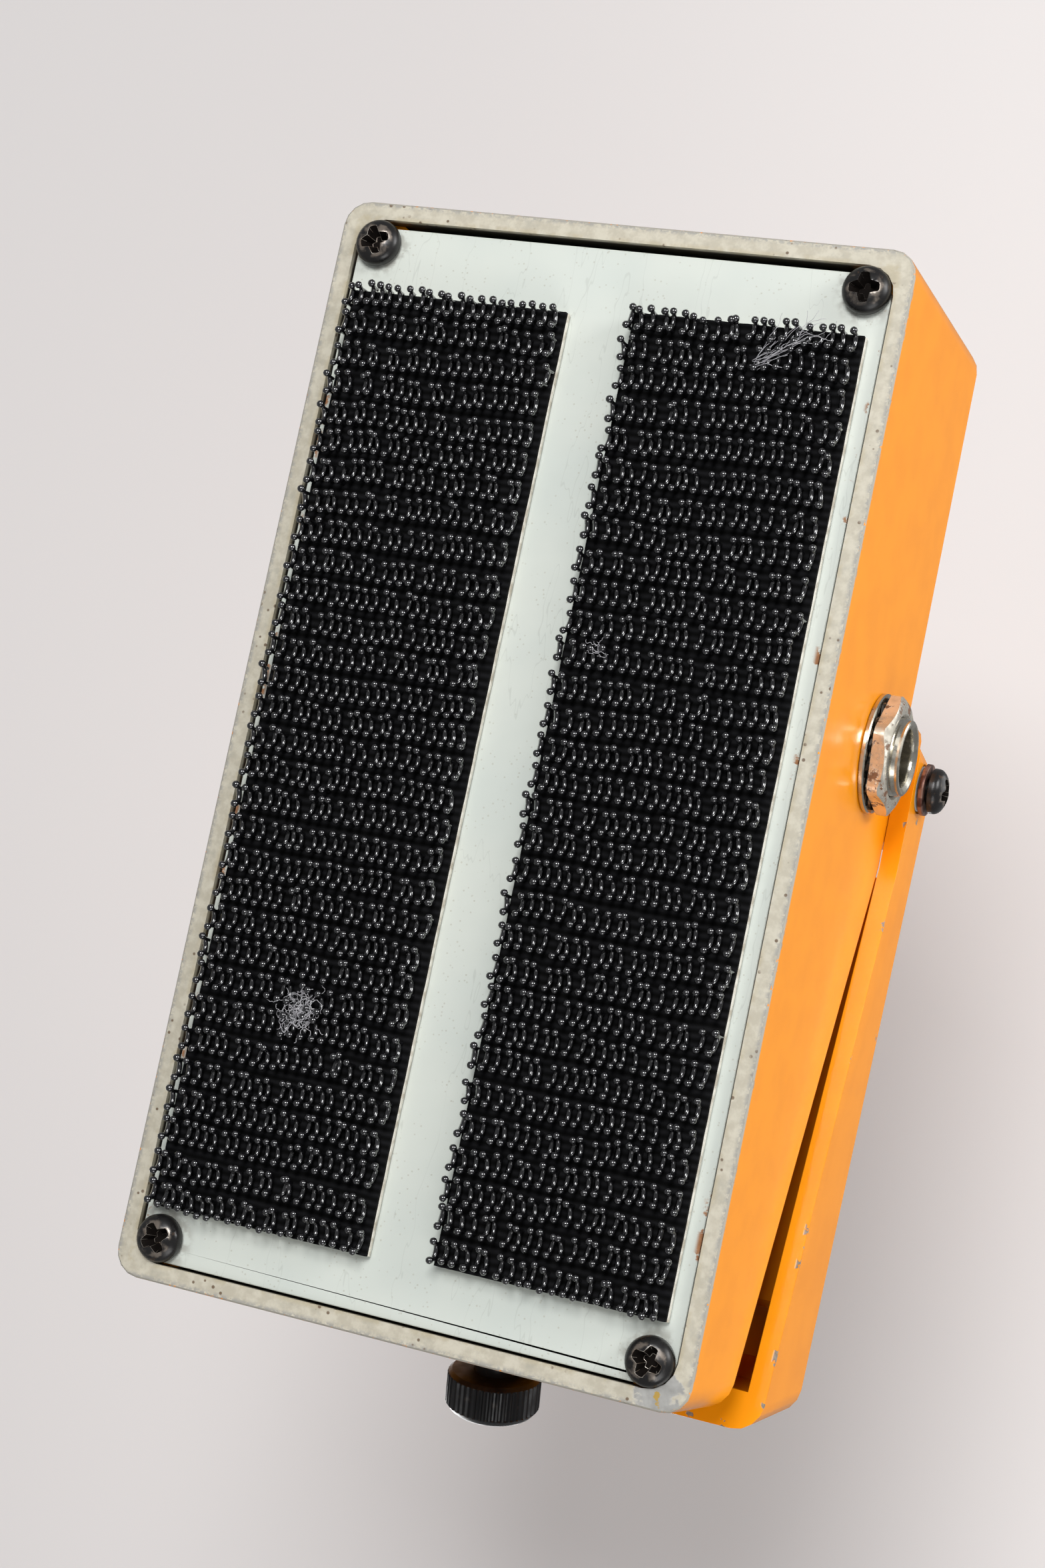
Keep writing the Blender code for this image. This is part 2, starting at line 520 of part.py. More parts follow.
# ---- thumbscrew through the treadle's lip, with its captive collar --------------------------------
THUMB_AIM = Vector((0, -math.cos(tilt), math.sin(tilt)))
THUMB_SEAT = Vector((THUMB_X, TREADLE_FRONT_Y, RIM_Z + THUMB_HEIGHT))
THUMB_NECK_RADIUS = 2.6 * MM
THUMB_SHANK_RADIUS = 1.8 * MM
THUMB_NECK = 5.2 * MM
cut(treadle, "cut_thumb_hole", rod(THUMB_NECK_RADIUS + GAP, THUMB_SEAT + THUMB_AIM * 3 * MM, -THUMB_AIM,
                                   TREADLE_LIP + 7 * MM, sides=20))
cut(treadle, "cut_thumb_face", rod(THUMB_RADIUS + 0.7 * MM, THUMB_SEAT + THUMB_AIM * 6 * MM, -THUMB_AIM,
                                   6 * MM - HEAD_SEAT + GAP, sides=24))
thumb_profile = [
    (0.0, -THUMB_REACH), (THUMB_SHANK_RADIUS, -THUMB_REACH), (THUMB_SHANK_RADIUS, -THUMB_NECK),
    (THUMB_NECK_RADIUS, -THUMB_NECK), (THUMB_NECK_RADIUS, HEAD_SEAT), (THUMB_RADIUS - 0.5 * MM, HEAD_SEAT),
    (THUMB_RADIUS, HEAD_SEAT + 0.5 * MM), (THUMB_RADIUS, HEAD_SEAT + THUMB_HEAD - THUMB_HEAD_ROUND),
    (THUMB_RADIUS - THUMB_HEAD_ROUND, HEAD_SEAT + THUMB_HEAD), (0.0, HEAD_SEAT + THUMB_HEAD)]
thumbscrew = piece("thumbscrew", turned(thumb_profile, THUMB_SEAT, THUMB_AIM, sides=28), BLACK_STEEL)
set_axis(thumbscrew, THUMB_SEAT)
COLLAR_THICKNESS = 0.6 * MM
COLLAR_PLACE = -9.6 * MM
collar = piece("thumbscrew_collar", ring(THUMB_SHANK_RADIUS + GAP, 3.2 * MM, THUMB_SEAT + THUMB_AIM * COLLAR_PLACE,
                                         THUMB_AIM, COLLAR_THICKNESS, sides=20), NYLON)

# ---- guide fork on the bay's floor, which the thumbscrew's tip enters ------------------------------
FORK_THICKNESS = 1.3 * MM
FORK_HALF_WIDTH = 7.0 * MM
FORK_TOP_Z = RIM_Z + 28.5 * MM
FORK_SLOT_HALF = THUMB_SHANK_RADIUS + 0.7 * MM
fork_foot_z = BAY_FLOOR_Z + GAP
fork_outline = [(FORK_Y, fork_foot_z), (FORK_Y + 10 * MM, fork_foot_z),
                (FORK_Y + 10 * MM, fork_foot_z + FORK_THICKNESS),
                (FORK_Y + FORK_THICKNESS, fork_foot_z + FORK_THICKNESS),
                (FORK_Y + FORK_THICKNESS, FORK_TOP_Z), (FORK_Y, FORK_TOP_Z)]
fork = piece("guide_fork", prism(fork_outline, "X", THUMB_X - FORK_HALF_WIDTH, THUMB_X + FORK_HALF_WIDTH),
             SPRING_STEEL)
cut(fork, "cut_fork_slot", box((THUMB_X - FORK_SLOT_HALF, FORK_Y - OVERLAP, RIM_Z + 13.5 * MM),
                               (THUMB_X + FORK_SLOT_HALF, FORK_Y + FORK_THICKNESS + OVERLAP, FORK_TOP_Z + OVERLAP)))
cut(fork, "cut_fork_foot", rod(SCREW_SHANK_RADIUS + GAP, (*FORK_SCREW, fork_foot_z - OVERLAP), (0, 0, 1),
                               FORK_THICKNESS + 2 * OVERLAP, sides=12))
pan_screw("fork_screw", (*FORK_SCREW, fork_foot_z + FORK_THICKNESS + GAP), (0, 0, 1), 3.4 * MM)

# ---- rubber pad on the treadle -------------------------------------------------------------------
pad_mesh = pad_shape(0.0, GAP - PAD_POCKET, GAP - PAD_POCKET + PAD_THICKNESS, PAD_CORNER)
pad = piece("treadle_pad", pad_mesh, RUBBER)

# ---- hinge screws, washers and nylon bushes --------------------------------------------------------
HINGE_WASHER_THICKNESS = 0.6 * MM
HINGE_SHANK_RADIUS = 1.5 * MM
for number, side in enumerate((1, -1), start=1):
    aim = (side, 0, 0)
    piece(f"hinge_bush_{number}", ring(HINGE_SHANK_RADIUS + GAP, EAR_HOLE_RADIUS - GAP,
                                       (side * EAR_INNER_X, HINGE_Y, HINGE_Z), aim, TREADLE_WALL), NYLON)
    washer_x = EAR_OUTER_X + GAP
    piece(f"hinge_washer_{number}", ring(HINGE_SHANK_RADIUS + GAP, 3.1 * MM,
                                         (side * washer_x, HINGE_Y, HINGE_Z), aim, HINGE_WASHER_THICKNESS),
          BLACK_STEEL)
    head_x = washer_x + HINGE_WASHER_THICKNESS + GAP
    pan_screw(f"hinge_screw_{number}", (side * head_x, HINGE_Y, HINGE_Z), aim,
              head_x - HALF_WIDTH + HINGE_SCREW_REACH - 2 * OVERLAP, shank_radius=HINGE_SHANK_RADIUS)

# ---- jacks: input at +X, output at -X --------------------------------------------------------------
for name, side in (("input", 1), ("output", -1)):
    aim = Vector((side, 0, 0))
    wall_x = HALF_WIDTH
    washer_x = wall_x + GAP
    lock_x = washer_x + JACK_WASHER_THICKNESS + GAP
    nut_x = lock_x + LOCK_WASHER_THICKNESS + GAP
    bush_end_x = nut_x + JACK_NUT_THICKNESS + JACK_BUSH_PROUD
    body_x = INNER_X - GAP
    block_x = sorted((side * (body_x - JACK_BODY[0]), side * body_x))
    jack = piece(f"{name}_jack", box((block_x[0], JACK_Y - JACK_BODY[1] / 2, JACK_Z - JACK_BODY[2] / 2),
                                     (block_x[1], JACK_Y + JACK_BODY[1] / 2, JACK_Z + JACK_BODY[2] / 2)), NICKEL)
    join(jack, f"bush_{name}", rod(JACK_BUSH_RADIUS, (side * (body_x - OVERLAP), JACK_Y, JACK_Z), aim,
                                   bush_end_x - body_x + OVERLAP, sides=24))
    cut(jack, f"cut_bore_{name}", rod(JACK_BORE_RADIUS, (side * (bush_end_x + OVERLAP), JACK_Y, JACK_Z), -aim,
                                      bush_end_x - body_x + JACK_BODY[0] - 2.5 * MM, sides=24))
    piece(f"{name}_jack_washer", ring(JACK_BUSH_RADIUS + GAP, JACK_WASHER_RADIUS,
                                      (side * washer_x, JACK_Y, JACK_Z), aim, JACK_WASHER_THICKNESS), NICKEL)
    piece(f"{name}_jack_lock_washer", ring(JACK_BUSH_RADIUS + GAP, LOCK_WASHER_RADIUS,
                                           (side * lock_x, JACK_Y, JACK_Z), aim, LOCK_WASHER_THICKNESS),
          DARK_STEEL)
    nut_mesh = prism([(JACK_Y + y, JACK_Z + z) for y, z in hexagon(JACK_NUT_FLATS)], "X",
                     *sorted((side * nut_x, side * (nut_x + JACK_NUT_THICKNESS))))
    nut = piece(f"{name}_jack_nut", nut_mesh, NICKEL)
    cut(nut, f"cut_nut_{name}", rod(JACK_BUSH_RADIUS + GAP, (side * (nut_x - OVERLAP), JACK_Y, JACK_Z), aim,
                                    JACK_NUT_THICKNESS + 2 * OVERLAP, sides=24))

# ---- DC power jack in the rear wall ------------------------------------------------------------------
DC_BODY = (11.0 * MM, 12.0 * MM, 11.0 * MM)
dc_inner_y = REAR_Y - BODY_WALL - GAP
dc_jack = piece("dc_jack", box((DC_X - DC_BODY[0] / 2, dc_inner_y - DC_BODY[1], DC_Z - DC_BODY[2] / 2),
                               (DC_X + DC_BODY[0] / 2, dc_inner_y, DC_Z + DC_BODY[2] / 2)), PLASTIC)
join(dc_jack, "dc_barrel", rod(DC_BARREL_RADIUS, (DC_X, dc_inner_y - OVERLAP, DC_Z), (0, 1, 0),
                               BODY_WALL + GAP + OVERLAP, sides=24))
dc_bore = turned([(1.05 * MM, 0.0), (3.1 * MM, 0.0), (3.1 * MM, -9.0 * MM), (1.05 * MM, -9.0 * MM)],
                 (DC_X, REAR_Y + OVERLAP, DC_Z), (0, 1, 0), sides=16, closed=True)
cut(dc_jack, "cut_dc_bore", dc_bore)
cut(dc_jack, "cut_dc_pin", rod(2.0 * MM, (DC_X, REAR_Y + 2 * OVERLAP, DC_Z), (0, -1, 0), 2.5 * OVERLAP))

# ---- potentiometers, their shafts, nuts and knobs ------------------------------------------------------
POT_TOP_Z = PANEL_UNDER_Z - GAP
NUT_Z = PANEL_Z + GAP
BUSH_TOP_Z = NUT_Z + POT_NUT_THICKNESS + 1.4 * MM
KNOB_Z = NUT_Z + POT_NUT_THICKNESS + 0.7 * MM
SHAFT_NECK_RADIUS = 2.0 * MM
SHAFT_FOOT_Z = POT_TOP_Z - POT_HEIGHT + 1.5 * MM
SHAFT_TOP_Z = KNOB_Z + KNOB_HEIGHT - 4.0 * MM
for number, knob_x in enumerate(KNOB_PLACES, start=1):
    base = (knob_x, KNOB_Y, 0.0)
    pot_profile = [
        (0.0, POT_TOP_Z - POT_HEIGHT), (POT_RADIUS, POT_TOP_Z - POT_HEIGHT), (POT_RADIUS, POT_TOP_Z),
        (POT_BUSH_RADIUS, POT_TOP_Z), (POT_BUSH_RADIUS, BUSH_TOP_Z), (SHAFT_NECK_RADIUS + GAP, BUSH_TOP_Z),
        (SHAFT_NECK_RADIUS + GAP, SHAFT_FOOT_Z - GAP), (0.0, SHAFT_FOOT_Z - GAP)]
    piece(f"pot_{number}", turned(pot_profile, base, (0, 0, 1), sides=20), NICKEL)
    shaft_profile = [
        (0.0, SHAFT_FOOT_Z), (SHAFT_NECK_RADIUS, SHAFT_FOOT_Z), (SHAFT_NECK_RADIUS, BUSH_TOP_Z + GAP),
        (SHAFT_RADIUS, BUSH_TOP_Z + GAP), (SHAFT_RADIUS, SHAFT_TOP_Z), (0.0, SHAFT_TOP_Z)]
    shaft = piece(f"pot_shaft_{number}", turned(shaft_profile, base, (0, 0, 1), sides=16), NICKEL)
    nut_mesh = prism([(knob_x + x, KNOB_Y + y) for x, y in hexagon(POT_NUT_FLATS)], "Z",
                     NUT_Z, NUT_Z + POT_NUT_THICKNESS)
    nut = piece(f"pot_nut_{number}", nut_mesh, NICKEL)
    cut(nut, f"cut_pot_nut_{number}", rod(POT_BUSH_RADIUS + GAP, (knob_x, KNOB_Y, NUT_Z - OVERLAP), (0, 0, 1),
                                          POT_NUT_THICKNESS + 2 * OVERLAP))
    knob_profile = [
        (POT_BUSH_RADIUS + 2 * GAP, KNOB_Z), (KNOB_RADIUS, KNOB_Z), (KNOB_RADIUS, KNOB_Z + 2.0 * MM),
        (KNOB_RADIUS - 0.4 * MM, KNOB_Z + 2.5 * MM), (KNOB_TOP_RADIUS, KNOB_Z + KNOB_HEIGHT - 0.8 * MM),
        (KNOB_TOP_RADIUS - 0.8 * MM, KNOB_Z + KNOB_HEIGHT), (0.0, KNOB_Z + KNOB_HEIGHT)]
    knob_inside = [(0.0, SHAFT_TOP_Z + GAP), (SHAFT_RADIUS + GAP, SHAFT_TOP_Z + GAP),
                   (SHAFT_RADIUS + GAP, BUSH_TOP_Z + 2 * GAP), (POT_BUSH_RADIUS + 2 * GAP, BUSH_TOP_Z + 2 * GAP)]
    knob = piece(f"knob_{number}", turned(knob_inside + knob_profile, base, (0, 0, 1), sides=24), PLASTIC)
    for turning in (shaft, knob):
        set_axis(turning, (knob_x, KNOB_Y, PANEL_Z))

# ---- indicator lamp and its bezel on the bridge -----------------------------------------------------------
LAMP_RADIUS = 1.5 * MM
bezel_profile = [
    (LAMP_RADIUS + GAP, BRIDGE_UNDER_Z - 1.5 * MM), (BEZEL_RADIUS, BRIDGE_UNDER_Z - 1.5 * MM),
    (BEZEL_RADIUS, BRIDGE_Z + GAP), (3.4 * MM, BRIDGE_Z + GAP), (3.0 * MM, BRIDGE_Z + 1.1 * MM),
    (LAMP_RADIUS + GAP, BRIDGE_Z + 1.1 * MM)]
piece("lamp_bezel", turned(bezel_profile, (0, LAMP_Y, 0), (0, 0, 1), sides=20, closed=True), PLASTIC)
lamp_profile = [
    (0.0, BRIDGE_UNDER_Z - 3.0 * MM), (LAMP_RADIUS, BRIDGE_UNDER_Z - 3.0 * MM), (LAMP_RADIUS, BRIDGE_Z + 0.6 * MM),
    (0.8 * LAMP_RADIUS, BRIDGE_Z + 1.3 * MM), (0.0, BRIDGE_Z + 1.7 * MM)]
piece("indicator_lamp", turned(lamp_profile, (0, LAMP_Y, 0), (0, 0, 1), sides=12), LAMP_RED)

# ---- main board, its screws and the insulating sheet --------------------------------------------------------
BOARD_HALF_WIDTH = 25.0 * MM
board_front_y = HOLLOW_FRONT_Y + 2.0 * MM
board = piece("main_board", box((-BOARD_HALF_WIDTH, board_front_y, BOARD_Z),
                                (BOARD_HALF_WIDTH, REAR_Y - 4.5 * MM, BOARD_Z + BOARD_THICKNESS)), BOARD_GREEN)
COMPONENTS = ((-17.0, 24.0, 8.0, 6.0, 4.0), (-4.0, 12.0, 10.0, 7.0, 4.5), (12.0, 27.0, 14.0, 5.0, 3.5),
              (-17.0, 38.0, 5.0, 9.0, 5.5), (18.0, 38.0, 6.0, 6.0, 4.5))
for number, (part_x, part_y, part_width, part_length, part_height) in enumerate(COMPONENTS, start=1):
    low = (part_x * MM - part_width * MM / 2, BRIDGE_FRONT_Y + part_y * MM - part_length * MM / 2,
           BOARD_Z + BOARD_THICKNESS - OVERLAP)
    high = (low[0] + part_width * MM, low[1] + part_length * MM, BOARD_Z + BOARD_THICKNESS + part_height * MM)
    join(board, f"component_{number}", box(low, high))
for number, (post_x, post_y) in enumerate(BOARD_POSTS, start=1):
    cut(board, f"cut_board_{number}", rod(BOARD_SCREW_RADIUS + GAP, (post_x, post_y, BOARD_Z - OVERLAP), (0, 0, 1),
                                          BOARD_THICKNESS + 2 * OVERLAP, sides=10))
    pan_screw(f"board_screw_{number}", (post_x, post_y, BOARD_Z - GAP), (0, 0, -1),
              BOARD_THICKNESS + 5.0 * MM, 2.2 * MM, 1.6 * MM, BOARD_SCREW_RADIUS)
piece("insulating_sheet", prism(rounded_outline((-BOARD_HALF_WIDTH, board_front_y),
                                                (BOARD_HALF_WIDTH, REAR_Y - 9.5 * MM), 2 * MM, 2),
                                "Z", SEAT_Z, SEAT_Z + 0.4 * MM), SHEET_GREY)

# ---- momentary switch in the bay and the pusher above it ------------------------------------------------------
SWITCH_X = -20.0 * MM
SWITCH_Y = FRONT_Y + 18.0 * MM
SWITCH_SIZE = 13.0 * MM
SWITCH_HEIGHT = 8.5 * MM
PLUNGER_RADIUS = 2.2 * MM
switch_z = BAY_FLOOR_Z + GAP
switch_top_z = switch_z + SWITCH_HEIGHT
switch = piece("foot_switch", box((SWITCH_X - SWITCH_SIZE / 2, SWITCH_Y - SWITCH_SIZE / 2, switch_z),
                                  (SWITCH_X + SWITCH_SIZE / 2, SWITCH_Y + SWITCH_SIZE / 2, switch_top_z)), PLASTIC)
cut(switch, "cut_plunger_well", rod(PLUNGER_RADIUS + GAP, (SWITCH_X, SWITCH_Y, switch_top_z + OVERLAP), (0, 0, -1),
                                    4.0 * MM + OVERLAP))
PLUNGER_TRAVEL = 1.0 * MM
plunger_profile = [
    (0.0, switch_top_z - 2.6 * MM), (PLUNGER_RADIUS, switch_top_z - 2.6 * MM),
    (PLUNGER_RADIUS, switch_top_z + 2.4 * MM), (PLUNGER_RADIUS - 0.5 * MM, switch_top_z + 3.0 * MM),
    (0.0, switch_top_z + 3.0 * MM)]
piece("switch_plunger", turned(plunger_profile, (SWITCH_X, SWITCH_Y, 0), (0, 0, 1), sides=16), NYLON)
press_drop = math.tan(math.radians(PRESS_ANGLE)) * (HINGE_Y - SWITCH_Y)
pusher_foot_z = switch_top_z + 3.0 * MM + press_drop + 0.6 * MM
PUSHER_RADIUS = 3.5 * MM
pusher_top_z = treadle_under_z(SWITCH_Y - PUSHER_RADIUS) - GAP
piece("switch_pusher", rod(PUSHER_RADIUS, (SWITCH_X, SWITCH_Y, pusher_foot_z), (0, 0, 1),
                           pusher_top_z - pusher_foot_z), RUBBER)

# ---- rubber stops under the treadle's lugs ---------------------------------------------------------------------
stop_top_z = STOP_LUG_Z - math.tan(math.radians(PRESS_ANGLE)) * (HINGE_Y - STOP_Y) - 0.6 * MM
for number, side in enumerate((1, -1), start=1):
    piece(f"rubber_stop_{number}", rod(2.0 * MM, (side * STOP_X, STOP_Y, BAY_FLOOR_Z + GAP), (0, 0, 1),
                                       stop_top_z - BAY_FLOOR_Z - GAP), RUBBER)

# ---- coil spring between the bay's floor and the treadle ---------------------------------------------------------
SPRING_WIRE = 0.7 * MM
SPRING_COIL = 5.2 * MM
SPRING_TURNS = 6.5
STEPS_PER_TURN = 14
WIRE_SIDES = 6
spring_foot_z = BAY_FLOOR_Z + GAP + SPRING_WIRE
spring_top_z = treadle_under_z(SPRING_Y - SPRING_COIL) - GAP - SPRING_WIRE
spring_mesh = bmesh.new()
wire_rings = []
steps = int(SPRING_TURNS * STEPS_PER_TURN)
for step in range(steps + 1):
    angle = 2 * math.pi * step / STEPS_PER_TURN
    height = spring_foot_z + (spring_top_z - spring_foot_z) * step / steps
    outwards = Vector((math.cos(angle), math.sin(angle), 0))
    centre = Vector((SPRING_X, SPRING_Y, height)) + outwards * SPRING_COIL
    wire_rings.append([spring_mesh.verts.new(centre + SPRING_WIRE * (
        outwards * math.cos(2 * math.pi * k / WIRE_SIDES) + Vector((0, 0, math.sin(2 * math.pi * k / WIRE_SIDES)))))
        for k in range(WIRE_SIDES)])
for lower, upper in zip(wire_rings, wire_rings[1:]):
    for k in range(WIRE_SIDES):
        after = (k + 1) % WIRE_SIDES
        spring_mesh.faces.new((lower[k], lower[after], upper[after], upper[k]))
spring_mesh.faces.new(wire_rings[0])
spring_mesh.faces.new(wire_rings[-1])
piece("coil_spring", spring_mesh, SPRING_STEEL)

# ---- 9 V battery, its snap connector, two leads and foam -----------------------------------------------------------
battery_low_x = -INNER_X + 2.2 * MM
battery_y = (POCKET_FRONT_Y + POCKET_REAR_Y) / 2
battery_z = POCKET_FLOOR_Z + GAP
battery_high_x = battery_low_x + BATTERY[0]
piece("battery", prism(rounded_outline((battery_y - BATTERY[1] / 2, battery_z),
                                       (battery_y + BATTERY[1] / 2, battery_z + BATTERY[2]), 1.5 * MM, 2),
                       "X", battery_low_x, battery_high_x), BATTERY_SKIN)
snap_x = battery_high_x + GAP
SNAP_THICKNESS = 4.0 * MM
piece("battery_snap", prism(rounded_outline((battery_y - 12.5 * MM, battery_z + 1.0 * MM),
                                            (battery_y + 12.5 * MM, battery_z + 16.5 * MM), 4.0 * MM, 3),
                            "X", snap_x, snap_x + SNAP_THICKNESS), PLASTIC)
piece("battery_foam", box((-INNER_X + GAP, battery_y - 12.0 * MM, battery_z),
                          (battery_low_x - GAP, battery_y + 12.0 * MM, battery_z + 15.0 * MM)), FOAM)
LEAD_RADIUS = 0.6 * MM
for name, offset, finish in (("battery_lead_1", -1.1 * MM, LEAD_RED), ("battery_lead_2", 1.1 * MM, PLASTIC)):
    route = [(snap_x + SNAP_THICKNESS + GAP, battery_y + offset, battery_z + 9.0 * MM),
             (snap_x + SNAP_THICKNESS + 2.5 * MM, battery_y + offset, battery_z + 9.5 * MM),
             (LEAD_HOLE[0] + 3.0 * MM - offset, battery_y + 7.0 * MM, battery_z + 14.0 * MM),
             (LEAD_HOLE[0] - offset, LEAD_HOLE[1] - 2.5 * MM, LEAD_HOLE[2]),
             (LEAD_HOLE[0] - offset, LEAD_HOLE[1] + 2.5 * MM, LEAD_HOLE[2]),
             (LEAD_HOLE[0] - 2.5 * MM - offset, LEAD_HOLE[1] + 4.0 * MM, LEAD_HOLE[2] - 7.0 * MM),
             (LEAD_HOLE[0] - 3.5 * MM - offset, LEAD_HOLE[1] + 4.2 * MM, BOARD_Z + BOARD_THICKNESS + GAP)]
    curve = bpy.data.curves.new(name, "CURVE")
    curve.dimensions = "3D"
    curve.bevel_depth = LEAD_RADIUS
    curve.bevel_resolution = 1
    curve.use_fill_caps = True
    line = curve.splines.new("POLY")
    line.points.add(len(route) - 1)
    for point, place in zip(line.points, route):
        point.co = (*place, 1.0)
    curve.materials.append(finish)
    lead = bpy.data.objects.new(name, curve)
    bpy.context.collection.objects.link(lead)

# ---- moving pieces of the treadle turn about the hinge ---------------------------------------------------------------
for turning in (treadle, pad):
    set_axis(turning, (0.0, HINGE_Y, HINGE_Z))
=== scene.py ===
"""Compact foot pedal with a sprung treadle, seen from its base: an orange die-cast body, a grey base plate
with two strips of mushroom-head fastener, a nickel jack on each side and a black knurled thumbscrew.

Metres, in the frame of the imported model: the pedal stands at z = 0 with its thumbscrew towards -Y.
"""
import json
import math
import random

import bmesh
import bpy
from mathutils import Matrix, Vector


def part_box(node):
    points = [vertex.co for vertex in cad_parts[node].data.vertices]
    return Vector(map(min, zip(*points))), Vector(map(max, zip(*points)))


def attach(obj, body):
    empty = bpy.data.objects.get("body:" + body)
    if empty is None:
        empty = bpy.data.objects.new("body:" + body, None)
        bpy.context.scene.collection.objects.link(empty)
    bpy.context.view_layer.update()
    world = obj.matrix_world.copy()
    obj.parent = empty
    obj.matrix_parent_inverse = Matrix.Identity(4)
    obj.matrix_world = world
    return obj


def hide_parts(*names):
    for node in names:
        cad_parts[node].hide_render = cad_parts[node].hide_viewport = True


MM = 0.001
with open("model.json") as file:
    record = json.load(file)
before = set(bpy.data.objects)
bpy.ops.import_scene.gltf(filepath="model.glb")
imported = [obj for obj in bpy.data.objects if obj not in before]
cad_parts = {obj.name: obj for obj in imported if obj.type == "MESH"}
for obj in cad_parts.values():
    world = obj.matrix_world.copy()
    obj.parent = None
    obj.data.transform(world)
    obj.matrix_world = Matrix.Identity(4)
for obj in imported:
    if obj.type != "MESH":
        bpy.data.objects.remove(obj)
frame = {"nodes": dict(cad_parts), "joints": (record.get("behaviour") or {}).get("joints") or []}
nodes = frame["nodes"]
joints = {joint["name"]: joint for joint in frame["joints"]}
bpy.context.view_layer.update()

# ---- Camera ----
# It looks up at the base from the output jack's side, with the thumbscrew's end lowest in the frame.
body_low, body_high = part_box("body_shell")
rim_z = body_low.z
body_middle_y = (body_low.y + body_high.y) / 2
looking = Vector((0.36487, 0.09328, 0.92638)).normalized()
picture_up = Vector((0.15865, 0.97419, -0.16058)).normalized()
camera_data = bpy.data.cameras.new("camera")
camera_data.lens = 63.5
camera_data.sensor_width = 36.0
camera_data.clip_start = 0.01
camera_data.clip_end = 20.0
camera = bpy.data.objects.new("camera", camera_data)
eye = Vector((-112.5 * MM, body_middle_y - 29.2 * MM, rim_z - 280.5 * MM))
facing = Matrix((looking.cross(picture_up), picture_up, -looking)).transposed()
camera.matrix_world = Matrix.Translation(eye) @ facing.to_4x4()
bpy.context.collection.objects.link(camera)
bpy.context.scene.camera = camera
bpy.context.scene.view_settings.view_transform = "Standard"

# ---- Floor, backdrop and light ----
# A pale floor under the pedal and a pale backdrop over it.  Each shows only its front, so the floor is
# clear from below and the backdrop is clear from above, and neither shows in reflections.


def one_sided(name, colour):
    """A matt surface that is there only from its front."""
    made = bpy.data.materials.new(name)
    made.use_nodes = True
    tree = made.node_tree
    shader = tree.nodes["Principled BSDF"]
    shader.inputs["Base Color"].default_value = (*colour, 1.0)
    shader.inputs["Roughness"].default_value = 0.9
    shader.inputs["Specular IOR Level"].default_value = 0.1
    clear = tree.nodes.new("ShaderNodeBsdfTransparent")
    side = tree.nodes.new("ShaderNodeNewGeometry")
    pick = tree.nodes.new("ShaderNodeMixShader")
    tree.links.new(side.outputs["Backfacing"], pick.inputs[0])
    tree.links.new(shader.outputs[0], pick.inputs[1])
    tree.links.new(clear.outputs[0], pick.inputs[2])
    tree.links.new(pick.outputs[0], tree.nodes["Material Output"].inputs["Surface"])
    return made


for stage_name, height, half, up, tone in (("floor", 0.0, 3.0, True, (0.72, 0.71, 0.7)),
                                           ("backdrop", 0.17, 1.2, False, (0.76, 0.73, 0.72))):
    sheet = bmesh.new()
    corners = [(-half, -half), (half, -half), (half, half), (-half, half)]
    sheet.faces.new([sheet.verts.new((x, y, height)) for x, y in (corners if up else corners[::-1])])
    sheet_mesh = bpy.data.meshes.new(stage_name)
    sheet.to_mesh(sheet_mesh)
    sheet.free()
    sheet_mesh.materials.append(one_sided(stage_name + "_matt", tone))
    stage = bpy.data.objects.new(stage_name, sheet_mesh)
    bpy.context.collection.objects.link(stage)
    stage.visible_shadow = False
    stage.visible_glossy = False
    if up:
        stage.visible_diffuse = False
        stage.visible_transmission = False

world = bpy.data.worlds.new("studio")
world.use_nodes = True
world.node_tree.nodes["Background"].inputs["Color"].default_value = (0.93, 0.94, 0.96, 1.0)
world.node_tree.nodes["Background"].inputs["Strength"].default_value = 0.26
bpy.context.scene.world = world

pedal_middle = Vector((0.0, body_middle_y, rim_z + 20 * MM))
for lamp_name, towards, distance, size, power in (
        ("key_low", (-0.833, 0.444, -0.31), 0.8, 0.3, 3.3),
        ("fill_low", (-0.12, 0.36, -0.93), 0.85, 0.32, 5.6),
        ("front_low", (-0.45, -0.72, -0.5), 0.8, 0.4, 1.6),
        ("key_high", (0.5, -0.35, 0.79), 1.0, 0.6, 5.5),
        ("fill_high", (-0.75, 0.35, 0.55), 1.1, 0.7, 3.2)):
    lamp_data = bpy.data.lights.new(lamp_name, "AREA")
    lamp_data.size = size
    lamp_data.energy = power
    lamp = bpy.data.objects.new(lamp_name, lamp_data)
    direction = Vector(towards).normalized()
    turn = direction.to_track_quat("Z", "Y").to_matrix().to_4x4()
    lamp.matrix_world = Matrix.Translation(pedal_middle + direction * distance) @ turn
    bpy.context.collection.objects.link(lamp)

# ---- Body shell ----
# One die-casting, open below, in glossy orange enamel.  Its bottom rim is bare of orange: a thin
# beige undercoat, scuffed to grey metal along the outer edge and worn bright at one corner.


